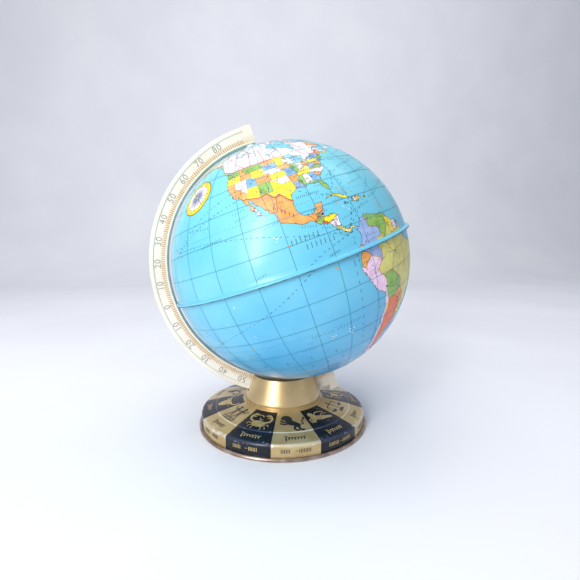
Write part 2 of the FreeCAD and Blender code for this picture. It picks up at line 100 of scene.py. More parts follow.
LAND = {
    "north america": """
        -168,65.6 -164,66.4 -161.7,66.2 -163.5,67.1 -166.8,68.3 -166,68.9 -163,69.7 -156.5,71.3 -152,70.8
        -145,70 -141,69.6 -136,68.9 -134.5,69.5 -130,70 -127.8,70.5 -125,69.5 -121,69.7 -116,69 -114,68.2
        -110,67.9 -108,67.6 -103,67.9 -98,67.8 -96,68.2 -95.5,69.8 -94.5,71.9 -92,70.8 -91.8,69.6
        -90.5,68.6 -88,68.8 -85.6,69.6 -82,69.8 -81.3,69 -82,68.2 -81.5,67.2 -84.5,66.4 -86.5,66.5
        -86,65.8 -87.5,64.5 -90.7,63.4 -93.5,61.8 -94.8,60 -94.5,58.8 -92.8,57.8 -92.5,57 -89,56.9
        -85,55.3 -82.3,55.1 -82.2,53 -81,51.4 -79.8,51.3 -79,52.5 -79.5,54.5 -76.8,56.5 -77.5,58
        -78.3,59 -77.5,60.5 -78,62.4 -75,62.2 -73.5,62.4 -70,61.1 -69.5,59 -68,58.3 -66.5,58.7 -65,59.8
        -64.5,60.3 -62,57.8 -60.5,55.8 -58,54.8 -57,54 -55.8,52.8 -56,51.7 -58.5,51.3 -60,50.2 -64,50.3
        -66.8,50 -68.5,49 -71,47 -69.5,48 -67,49 -64.3,48.8 -65,48 -65,47.2 -64.7,46.3 -63,45.8
        -61.5,45.8 -60.3,46.9 -60,46 -61,45.2 -63.5,44.6 -65.7,43.5 -66.2,44.3 -64.8,45.3 -66.8,45
        -68.5,44.3 -70.2,43.6 -70.8,42.7 -70.6,41.9 -70,42.1 -70,41.6 -71.4,41.5 -73,41 -74,40.8
        -74.1,39.8 -75,38.9 -75.2,38 -76,37 -76.3,39.2 -76.4,37.6 -76,36.8 -75.5,35.3 -77,34.6 -78,33.9
        -79.3,33.1 -81,32 -81.4,30.7 -80.5,28.4 -80.1,26.8 -80.4,25.2 -81.3,25.5 -82.1,26.8 -82.8,28
        -83,29.2 -84.2,30 -85.4,29.7 -87,30.4 -89,30.4 -89.5,29.2 -91,29.2 -93.5,29.7 -95,29.1 -97,27.9
        -97.3,26.5 -97.7,24 -97.6,22 -96.4,19.5 -95,18.6 -93,18.4 -91.5,18.5 -90.5,19.8 -90.3,21
        -88,21.6 -87,21.5 -87.6,19.5 -88.2,18 -88.7,16 -87,15.8 -85,15.9 -83.2,15 -83.6,12.5 -83.7,11
        -82.2,9.2 -80.8,8.9 -79.6,9.6 -77.5,8.7 -77.2,8 -77.9,7.3 -78.4,8.3 -79.5,8.9 -80.3,8.2
        -80.3,7.4 -81.5,7.6 -83,8.3 -83.6,8.6 -84.8,9.8 -85.8,10.1 -85.8,11.1 -87.4,12.8 -87.7,13.2
        -89.5,13.4 -91.5,14 -93,15.5 -94.5,16.2 -96.5,15.7 -99,16.7 -101.8,17.9 -103.8,18.6 -105.5,20
        -105.3,21.6 -106.5,23.3 -108.3,25.2 -109.5,26.7 -111,28 -112.3,29 -113.2,31.2 -114.8,31.7
        -114.7,30.6 -113.5,29 -112.2,27.2 -111.2,25.8 -110.5,24.3 -109.4,23.1 -110.3,23.2 -112.1,24.8
        -112.2,26 -114.2,27.1 -115,27.8 -114,28.5 -115.8,30.3 -117.1,32.5 -118.4,33.9 -120.6,34.5
        -122,36.9 -122.6,37.9 -123.8,39.2 -124.3,40.4 -124.2,42 -124.3,43.5 -124,46.2 -124.7,48.3
        -122.6,48.2 -123,49.2 -124.8,50 -127.5,51 -128.5,53 -130.2,54.6 -131.5,56 -133.5,58 -136.5,58.3
        -139.7,59.6 -144,60 -146,60.8 -148.5,60 -151.5,59.3 -151,60.8 -153.5,59.4 -156,57.5 -158.5,56
        -162,55 -164.8,54.7 -162,55.8 -160,56.3 -157.5,58 -157.2,58.8 -159,58.6 -162,58.7 -162,60
        -165,61 -165.5,62.2 -164.5,63.1 -161,63.5 -161,64.5 -163,64.5 -166.3,64.6""",
    "south america": """
        -77.5,8.7 -76.8,8 -75.5,10.5 -74.8,11.1 -73,11.3 -71.7,12.4 -71.3,11.2 -71.6,9.8 -71,9.8
        -71,11 -70,12 -68.3,10.8 -66,10.6 -64,10.3 -62,10.7 -61.8,9.9 -60.8,9.3 -60,8.5 -58.5,7.3
        -57,6 -54,5.9 -52,4.8 -51.3,4.2 -50.5,1.8 -50,0.2 -48.5,-0.8 -47.5,-0.7 -44.5,-2.5 -43.5,-2.4
        -41,-2.9 -38.5,-3.7 -37,-4.8 -35.3,-5.3 -34.8,-7.5 -35.5,-9.3 -37,-11.2 -38.5,-13 -39,-15
        -39.2,-17.7 -40,-20 -41,-22 -43,-23 -45.5,-23.8 -48.5,-26 -48.7,-28.3 -50.5,-30.5 -52.2,-32.5
        -53.5,-34 -55,-34.9 -58,-34.3 -57.2,-35.5 -57,-36.5 -58,-38.2 -62,-38.9 -62.2,-40.6 -65,-41
        -63.7,-42.5 -65.3,-43.7 -65.5,-45 -67.5,-46.2 -65.8,-47.5 -67.5,-49 -69,-50.8 -68.4,-52.4
        -65.2,-54.7 -67,-55.7 -71,-54.9 -74,-53 -75.3,-51 -75.3,-48.5 -74.5,-46 -73.5,-43 -73.8,-41.5
        -73.5,-39.5 -73.5,-37 -71.6,-33 -71.5,-30 -70.5,-27 -70.4,-23.5 -70.3,-18.5 -72,-17.3 -76,-14
        -77.2,-12 -79,-8.5 -81,-6 -81.2,-4.3 -80.3,-3.3 -80.8,-2.2 -80.2,0.3 -79,1.5 -77.5,3.8
        -77.4,6.8 -77.9,7.2 -77.2,8""",
    "africa": """
        -5.9,35.8 -2,35.1 1.5,36.6 5,36.8 10,37.3 11,36.8 10.5,34.2 15,32.3 19,30.3 20,32.8 23,32.6
        29,30.9 32.3,31.2 32.6,29.9 34,26.5 35.5,24 37.2,21 38.5,18 41,15 43.2,12.5 42.8,11.5
        44.5,10.4 51.2,11.8 50.8,9.5 48,4.8 44,1 41.5,-1.8 39.3,-4.7 39,-7 40.5,-10.8 40.7,-14.5
        38,-17 35,-19.8 35.5,-24 32.8,-26 32,-28.8 30,-31.3 27.5,-33.2 22,-34.1 19,-34.5 18.3,-33.5
        17.3,-29.8 15,-26.5 14.4,-22.5 12,-18 13.6,-12.5 13.2,-9 12.2,-6 9.3,-2.5 9.5,1 9.6,4 8.5,4.6
        6,4.3 4.4,6.3 1,5.9 -2,4.8 -4.5,5.2 -7.5,4.4 -9.5,5.8 -13.2,8.8 -15,11 -17,12.5 -17.4,14.7
        -16.3,19 -17,21 -14.7,25.5 -12.8,27.9 -9.8,29.8 -9.7,31.5 -6.8,34""",
    "eurasia": """
        -9.3,38.7 -8.8,41.5 -9.2,43.1 -4,43.5 -1.7,43.4 -1.2,45.5 -2.5,47.3 -4.7,48.3 -1.6,48.7
        -1.9,49.7 0.2,49.6 1.6,50.8 4,51.8 4.9,53 7,53.5 8.7,53.9 8.2,55.5 8.2,57 10.5,57.6 10.8,56.2
        9.8,55 10.9,54.1 14.2,53.9 18.5,54.7 21,55.2 21,57 22,57.6 24,57.2 23.5,58.7 24.5,59.5
        28,59.6 29.8,60 27,60.5 23,59.9 21.5,61 21.3,62.7 24.5,65 22,65.7 19,63.5 17.2,61.5 18.7,60
        16.7,58.3 16,56.5 14.2,55.4 12.9,55.5 11.3,58.5 10.5,59.3 8,58.1 5.5,58.8 5,61.5 9.5,63.8
        12.5,66 15,68.2 19,69.8 25,71 31,70.3 33,69.4 41,67.2 40.8,66.2 33.5,66.6 34.5,64.6 37.5,64
        40,64.7 42.5,66.4 44,66.1 44.3,68.3 49,67.8 54,68.3 60.5,68.8 65,69.2 68.5,68.4 67,69.8
        69,72.7 72.8,72.7 72.5,68.2 74,69 75.5,72.3 80.5,72 80.5,73.5 87,75 98,76.2 104,77.6
        113.5,75.8 107,73.2 113.5,73.5 123.5,73 128,73.3 129,71.2 134,71.5 140,72.5 150,71.4
        160,69.7 170.5,69.8 178,69.3 185,67 190.2,66.2 187,64.5 181,65.3 179.5,62.5 174,61.8 170,60
        164,59.8 163,57.8 162.5,56 160,53.2 156.7,51 155.7,54 156.5,57 161.5,60 163.5,62.3 160,61.7
        155,59.3 149,59.5 142.5,59.2 137.5,54.5 135.3,54.7 141,53 140.5,50 140.3,48 138,46 135.2,43.8
        132,43.2 130,42.2 127.5,39.8 129.4,37 129.3,35.3 126.5,34.4 126.5,37 124.8,38 125,39.6
        121.7,39 121.5,40.7 118,39.1 119,37.2 122.5,37.2 119.4,35 121.8,31.8 121.9,29.5 119.5,25.5
        116.5,22.9 113.5,22.1 110.3,21.2 110,20.4 108.3,21.6 106,19.8 105.8,18.5 108.8,15.3
        109.3,12.5 107,10.5 104.8,8.7 105,10.3 102.5,12 100.9,13.4 100,12.5 99.3,9.7 100.5,7.2
        103.3,4 104.2,1.4 101.5,2.8 100.3,6 98.3,8.3 98.6,12 97.6,16.3 95.3,15.8 94.3,18 92.2,21
        90.5,22.5 87,21.3 85,19.5 82.3,16.7 80.2,15.3 80.2,12.5 79.8,10.3 78.2,8.9 77.5,8.1 76.3,10
        74.8,13 73.3,17 72.8,20.5 72.5,21.3 70.5,20.9 69,22.3 70.3,23 67.3,24.4 66.5,25.4 61.5,25.1
        57.3,25.8 56.5,27.1 52.5,27.5 50,30 48,30 48.3,28.4 50.2,26.5 51.5,24.3 54.2,24.2 56.3,26.2
        56.6,24.4 59.8,22.5 57.8,19 55,17 52,15.6 45,12.8 43.3,12.7 42.7,16.4 39.2,21 37.2,24.8
        35,28 34.9,29.5 34.2,27.8 32.6,29.9 32.3,31.3 34.3,31.3 35.5,34 36,36.8 33.5,36.2 30.5,36.4
        27.4,36.8 26.3,39.2 26.2,40.2 29,41 31.5,41.3 35,42 38.5,40.9 41.5,41.6 39.5,43.7 37,45
        39.2,47.1 35,46.3 33.5,44.5 32.5,46 30.6,46.2 28.6,43.8 28,42 28.9,41.3 26.2,40.7 24,40.7
        22.8,40.4 24,38 22.8,36.5 21.3,37.7 19.4,40.5 19.4,41.9 16.5,43.4 13.6,45 12.3,45.3 12.5,44
        14,42.5 16,41.5 18.4,40.2 17,40.5 16.6,38.9 15.7,38 15.8,40 12.5,41.6 10.3,43.5 8.8,44.4
        6.5,43.2 3.2,43.2 3.2,42 0.7,40.8 -0.3,39 -0.7,37.7 -4.5,36.7 -5.6,36.1 -6.5,37 -8.9,37""",
    "greenland": """
        -73,78.2 -67,80.5 -60,82 -45,82.8 -32,83.6 -22,82.5 -12,81.5 -18,79 -20,76 -19.5,74 -22,72
        -24,70.3 -32,68.2 -38,65.8 -40.5,64.5 -42.5,61 -44,60 -48,61 -51.5,64 -53.5,67 -51,69.7
        -54.5,71 -56,73.5 -60,76 -68.5,76""",
    "antarctica": """
        -180,-78 -165,-78.5 -155,-77 -148,-75.5 -135,-74.5 -115,-74 -100,-72.5 -88,-73 -75,-72.5
        -68,-69 -62,-64.5 -57,-63.3 -60,-66 -61,-70 -62,-74 -76,-78 -60,-80 -45,-78 -36,-78 -25,-75.5
        -15,-72.5 0,-70 15,-69.5 33,-68.5 40,-69 50,-66.8 58,-67.2 70,-68.5 74,-70 80,-67.8 95,-66.5
        110,-66 125,-66.5 140,-66.7 155,-69 165,-70.8 170,-72 163,-77.5 170,-78 180,-78 180,-90
        -180,-90""",
    "australia": """
        142.5,-10.8 143.8,-14.5 145.4,-15.2 146.3,-19 149.2,-21 153,-25 153.5,-28.5 151.5,-33
        150,-37 147,-38.2 144.5,-38.2 140.5,-38 138,-35.5 137.7,-33.5 136,-34.8 135,-34.5 131,-31.5
        126,-32.3 123.5,-34 118,-35 115.2,-34.3 115.7,-32 113.5,-26 114,-22 119,-20 122.2,-18
        123.7,-16.5 127,-14 129.3,-14.9 130.5,-12.5 132.6,-11.3 136.8,-12 135.5,-14.8 139,-17.4
        140.8,-17.5 141.7,-15""",
    "baffin": """
        -61.8,66.6 -64.5,65.3 -68,66.2 -65,63.5 -66,62 -71,63.5 -78,64.5 -73,67.3 -74,69.5 -78,70
        -85,70.2 -89.5,71.2 -89,73 -85,73.7 -80,73.6 -76,72.7 -70,71 -67,69.3""",
    "victoria": """
        -105,73.5 -108,73 -112,73 -117.5,73 -118.5,71.3 -115,70 -117,69.7 -113,68.6 -105,68.8
        -101.5,69.8 -105,71.5""",
    "ellesmere": """
        -90,76.4 -80,76.3 -76,78.8 -62,82.5 -75,83.1 -90,82 -95,80.3 -88,79""",
    "banks": "-125.5,72 -123,71 -119,72.3 -116,73.2 -119,74.2 -124.5,74.3",
    "devon": "-80,74.6 -92,74.8 -92,76.5 -88,76.3 -80,75.7",
    "melville": "-106,75 -117,74.8 -117,76.2 -108,76.6",
    "axel": "-88,78.5 -97,78.3 -95,81 -90,81.3",
    "southampton": "-81,63.5 -87,63.6 -85.5,65.8 -82,64.5",
    "newfoundland": "-59.3,47.7 -56,47 -53.2,46.7 -53,48 -54,49.3 -55.5,49.9 -55.7,51.5 -57.3,50.5",
    "vancouver": "-123.4,48.4 -125.5,48.8 -128.3,50.7 -126,50.5",
    "kodiak": "-152.3,57.8 -154.5,57.2 -153.8,56.7",
    "cuba": "-84.8,21.9 -82.8,23 -80,23.1 -77.2,21.6 -74.3,20.2 -77.5,19.9 -77.3,20.6 -78.8,21.4 -82,22.4",
    "hispaniola": "-74.4,18.4 -72.6,18.6 -73.3,19.9 -70,19.8 -68.4,18.6 -70.6,18.2 -71.6,17.7",
    "jamaica": "-78.3,18.3 -76.3,18.2 -77.2,17.8",
    "puerto rico": "-67.2,18.4 -65.7,18.4 -65.9,18 -67.2,18",
    "hawaii": "-156,20.2 -155,19.6 -155.7,19",
    "iceland": "-22.5,64 -18.5,63.4 -13.7,65 -16,66.5 -20.5,65.9 -24.2,65.6",
    "britain": """
        -5.5,50.1 -3.2,50.6 1.3,51.2 1.6,52.8 0,53.3 -1.6,55.2 -3,56 -1.9,57.6 -4,57.8 -3.2,58.6
        -5.2,58.4 -6,56.7 -4.9,54.8 -3.1,54.5 -3,53.4 -4.6,52.9 -4,52.2 -5.1,51.7 -3,51.3""",
    "ireland": "-6.2,53.5 -6.3,52.2 -9.8,51.5 -9.9,53.8 -8.2,55 -5.6,54.7",
    "spitsbergen": "11,79.5 14,77 18,76.8 24,78.5 22,80.3",
    "novaya zemlya": "52,71.4 57,70.8 56,73.2 68,76.8 60,76.2 54,74",
    "severnaya": "92,80 95,79 105,79 97,81",
    "honshu": """
        130.9,34 132.5,34.3 135.4,34.6 136.9,34.3 138.8,34.7 140.5,35.5 141,38.3 141.8,40 141.2,41.3
        140,40.5 139.4,38.3 137,36.8 133,35.5""",
    "hokkaido": "140.2,42 141,42.4 143.2,42.1 145.5,43.3 142,45.4 141.5,43.3",
    "kyushu": "130,33.3 131.8,33.5 131.3,31.4 130.2,31.3",
    "shikoku": "132.4,33.5 134.4,34.2 133.9,33.4 132.8,32.9",
    "sakhalin": "142,46 143,49.3 143.3,53 142.3,54 141.8,50.5",
    "taiwan": "120.1,23 121.5,25.2 121,22.2",
    "hainan": "108.7,19.2 110.7,20 110,18.3",
    "luzon": "120.3,16 120.7,18.5 122.2,18.4 121.5,15.5 124,13 121,13.7",
    "mindanao": "122.2,7 123.5,8.6 125.5,9.8 126.4,7.5 125.4,5.8",
    "visayas": "122.5,10.5 123.6,11.5 125.4,12.4 125,10.4 123.2,9.3",
    "borneo": "109.2,1.8 111.2,2.6 113,3.3 117,7 119,5.2 117.7,3 118.8,1 116.5,-2 114.5,-4 110.2,-2.8",
    "sumatra": "95.3,5.6 98,4.2 101,2.2 104,-1.5 106,-3 105.8,-5.8 102.3,-4 98.8,0.5",
    "java": "105.3,-6.7 108.5,-6.6 112.7,-6.9 114.4,-7.9 113,-8.4 108,-7.8",
    "sulawesi": "119.5,-5.5 118.9,-3 120,0.8 124.8,1.5 123,0.5 120.5,-1 123.2,-4 121.5,-3 120.4,-5.5",
    "timor": "123.5,-10.3 125,-8.9 127.2,-8.4 125,-9.6",
    "new guinea": """
        131,-0.8 134,-0.9 135,-3.3 138,-1.8 141,-2.6 145,-4.3 147.8,-6.2 147,-7.2 150.7,-10.4 147,-9.8
        144,-7.8 141,-9.1 138,-8.2 138,-5.5 133,-4 132,-2.8""",
    "new britain": "148.4,-5.6 152.2,-4.2 151,-6",
    "tasmania": "144.7,-40.8 148.3,-40.9 147.5,-43.2 146,-43.5",
    "north island": "172.8,-34.5 175,-36.5 178.4,-37.7 177,-39.5 175.2,-41.6 173.8,-39.3 174.9,-38",
    "south island": "172.8,-40.6 174.2,-41.6 171,-44.7 169,-46.6 166.5,-46 168.5,-44 171.3,-42.2",
    "new caledonia": "164,-20.2 167,-22.2 165.5,-21.8",
    "ceylon": "79.9,9.5 81.8,7.3 80.7,6 79.9,7",
    "madagascar": "49.3,-12.1 50.4,-15.6 47.2,-25 44.2,-25 43.3,-22 44.4,-19.8 44.5,-16.2 47.5,-15",
    "sicily": "12.5,37.9 15.5,38.2 15.1,36.7",
    "sardinia": "8.4,40.8 9.7,41 9.6,39.2 8.5,39",
    "corsica": "8.7,42.5 9.5,42.8 9.2,41.5",
    "crete": "23.6,35.4 26.2,35.2 24.5,35",
    "cyprus": "32.4,35 34.5,35.6 33.5,34.6",
    "falklands": "-61,-51.8 -58,-51.4 -59.5,-52.3",
}

LAKES = {
    "superior": "-92,46.8 -90,47.8 -88.4,48.8 -86,48.7 -84.7,47 -84.6,46.5 -87.5,46.5 -90.5,46.6",
    "michigan": "-87.8,42.2 -86.8,41.8 -86.3,43 -86.4,44.2 -85,45.8 -86.7,45.7 -87.7,44.3",
    "huron": "-84.5,46 -81.5,45.9 -80,45 -81.7,44.5 -81.7,43.3 -82.4,43.1 -82.6,43.9 -83.5,44.2 -83.4,45.2",
    "erie": "-83.4,41.7 -81.7,41.5 -79,42.7 -81.2,42.7 -83,42.1",
    "ontario": "-79.7,43.3 -76.4,43.5 -76.3,44.1 -78.5,43.9",
    "winnipeg": "-97,50.5 -96.3,51.5 -98,53.7 -99,53.2",
    "great slave": "-116,61.2 -112,61.3 -109.5,62.8 -113.5,62.2",
    "great bear": "-124,65.3 -120,65 -118.5,66.6 -122.5,66.8",
    "athabasca": "-111.3,58.9 -107,59.3 -109.5,59.6",
    "nicaragua": "-85.9,12 -84.9,11.2 -85.4,11.2",
    "titicaca": "-70.1,-15.4 -68.8,-16.3 -69.5,-16.3",
    "caspian": """
        47,44.5 49,46.3 53,46.6 53,45.2 51,44.5 53.5,42.5 52.8,41 54,39 53.8,37 51,36.8 49,38 49.5,40.3
        48,42.3""",
    "aral": "58.3,44.5 61,46.5 61.7,45.5 60,43.7",
    "baikal": "104,51.5 107.5,53 109.7,55.6 108.5,53 105.5,51.5",
    "victoria": "31.8,-0.8 33,0.4 34.2,-0.5 33.3,-2.6 32,-2.5",
    "tanganyika": "29.2,-3.5 29.8,-6 31,-8.6 29.8,-7 29.1,-5",
    "ladoga": "30.5,60.8 31.5,61.5 32.8,60.9 31.6,59.9",
}

# Countries and states: the colour of the ink, then the outline. Each is trimmed to the land, and a later
# one covers an earlier one.
FAR_NORTH = [
    ("white", """-141,75 -141,60 -130,54 -125,49 -95,49 -88,48 -83,46 -82,42 -79,43 -75,45 -66,45 -50,44
        -50,84 -100,84"""),
    ("olive", "-170,72 -141,72 -141,60.2 -137.5,59 -135,59.5 -130,56 -130,54 -170,50"),
    ("white", "-75,59.5 -62,84 -8,84 -8,75 -30,58 -50,58"),
    ("orange", "-64,60.5 -64,55 -67,52.5 -57,51.5 -55,53 -62,60"),
]

STATES = [
    ("yellow", """-125,49 -95,49 -89.6,48 -84.5,46.6 -82.4,43 -83.4,41.8 -79,42.6 -79,43.3 -76.5,43.8
        -75,45 -71,45.3 -69.2,47.4 -67.8,47 -66.9,44.8 -70,41 -75,35 -81,31 -79.5,25 -84,29 -94,29
        -97,25.6 -99.5,27.5 -101.4,29.8 -103,29 -104.5,29.7 -106.6,31.9 -108.2,31.3 -111,31.3 -114.8,32.5
        -117.2,32.5 -121,34 -125,40"""),
    ("green", "-125.5,49 -117,49 -117,46 -119,46 -121,45.7 -125.5,46.2"),
    ("yellow", "-126,46.2 -121,45.7 -119,46 -117,46 -117,42 -126,42"),
    ("orange", "-126,42 -120,42 -120,39 -114.6,35 -114.5,32.7 -117.2,32.5 -121,32"),
    ("white", "-120,42 -114,42 -114,36 -114.6,35 -120,39"),
    ("orange", "-117,49 -116,49 -116,48 -114.4,46.6 -113.5,45 -111,44.5 -111,42 -117,42"),
    ("green", "-116,49 -104,49 -104,45 -111,45 -111.2,44.5 -113.5,45 -114.4,46.6 -116,48"),
    ("yellow", "-111,45 -104,45 -104,41 -111,41"),
    ("blue", "-114,42 -111,42 -111,41 -109,41 -109,37 -114,37"),
    ("orange", "-109,41 -102,41 -102,37 -109,37"),
    ("yellow", "-114,37 -109,37 -109,31.3 -111,31.3 -114.8,32.5 -114.6,35"),
    ("green", "-109,37 -103,37 -103,32 -106.6,32 -108.2,31.3 -109,31.3"),
    ("orange", "-104,49 -97.2,49 -96.6,46 -104,46"),
    ("blue", "-104,46 -96.6,46 -96.5,43 -104,43"),
    ("white", "-104,43 -98,43 -96.5,42.5 -95.4,40 -102,40 -102,41 -104,41"),
    ("yellow", "-102,40 -95.3,40 -94.6,39 -94.6,37 -102,37"),
    ("white", "-103,37 -94.6,37 -94.4,33.8 -97,33.8 -100,34.6 -100,36.5 -103,36.5"),
    ("yellow", """-103,36.5 -100,36.5 -100,34.6 -97,33.8 -94,33.5 -94,31 -93.7,29 -97,25.5 -99.5,27.5
        -101.4,29.8 -103,29 -104.5,29.7 -106.6,31.9 -103,32"""),
    ("yellow", "-97.2,49 -95,49 -89.6,48 -92.3,46.6 -92.8,45 -91.2,43.5 -96.5,43.5 -96.6,46"),
    ("orange", "-96.5,43.5 -91.2,43.5 -90.2,41.8 -91.4,40.4 -95.8,40.6"),
    ("blue", "-95.8,40.6 -91.4,40.4 -90.3,38.8 -89.2,37 -90,36 -90.4,36.5 -94.6,36.5 -94.6,39"),
    ("orange", "-94.6,36.5 -90.4,36.5 -90,36 -91.1,33 -94,33 -94.4,35.5"),
    ("violet", "-94,33 -91.1,33 -91.5,31 -89.7,31 -88.8,29 -93.7,29 -93.6,31"),
    ("white", "-92.3,46.6 -90.4,46.6 -88,45.8 -87.4,45 -87.6,42.5 -90.6,42.5 -91.2,43.5 -92.8,45"),
    ("green", "-90.6,42.5 -87.4,42.5 -87.5,39 -88.2,37.8 -89.2,37 -90.3,38.8 -91.4,40.4 -90.2,41.8"),
    ("blue", "-90.4,46.6 -88,45.8 -87.4,45 -86.9,41.8 -83.4,41.8 -82.4,43 -82.8,46 -84.5,46.6 -88,47.6"),
    ("white", "-87.5,41.7 -84.8,41.7 -84.8,39.1 -88,37.8 -87.5,39"),
    ("orange", "-84.8,41.7 -83.4,41.8 -80.5,42.2 -80.6,40.5 -82.5,38.5 -84.8,39.1"),
    ("olive", "-84.8,39.1 -82.5,38.4 -82,37.4 -83.6,36.6 -89.4,36.5 -89.2,37 -88,37.8"),
    ("yellow", "-90,36.5 -81.7,36.6 -84.3,35 -90.2,35"),
    ("green", "-90.2,35 -88.2,35 -88.4,30 -89.7,30 -89.7,31 -91.5,31 -91.1,33"),
    ("white", "-88.2,35 -85.6,35 -85,32.5 -85,31 -87.5,31 -87.6,30 -88.4,30"),
    ("blue", "-85.6,35 -83.1,35 -81,32 -81.2,30.7 -85,30.7 -85,32.5"),
    ("green", "-87.6,31 -85,31 -85,30.7 -81,30.7 -79,30 -79,24.5 -84,24.5 -87.6,29"),
    ("orange", "-83.1,35 -80.8,34.8 -78.5,33.8 -81,32"),
    ("white", "-84.3,35 -81.7,36.6 -75,36.6 -75,34 -78.5,33.8 -80.8,34.8 -83.1,35"),
    ("green", "-83.6,36.6 -82,37.4 -80.3,37.5 -77.8,39.3 -77,38.5 -75.8,37.5 -75.8,36.6"),
    ("violet", "-82.5,38.4 -80.6,40.5 -77.8,39.3 -80.3,37.5 -82,37.4"),
    ("yellow", "-80.5,42.3 -75,42 -75,39.8 -80.5,39.8"),
    ("orange", "-79.5,39.7 -74,39.8 -74.5,38 -75.8,37.5 -77,38.5 -77.8,39.3"),
    ("blue", "-79.7,42.2 -79,43.3 -76.5,43.8 -75,45 -73.3,45 -73.5,41 -74.2,40.6 -75,42"),
    ("olive", "-75.5,39.8 -74.8,41.3 -73.8,41 -73.8,39.4 -75,38.8"),
    ("white", "-73.4,45 -71.5,45 -72.4,42.7 -73.4,42.7"),
    ("green", "-73.5,42.7 -69.5,42.7 -69.5,41 -73.7,40.9"),
    ("violet", "-72.4,42.7 -71.5,45 -71,45.3 -70.7,43 -71,42.7"),
    ("orange", "-71,45.3 -70.3,46.3 -69.2,47.4 -67.8,47 -67.8,45.6 -66.9,44.8 -70.7,43"),
]

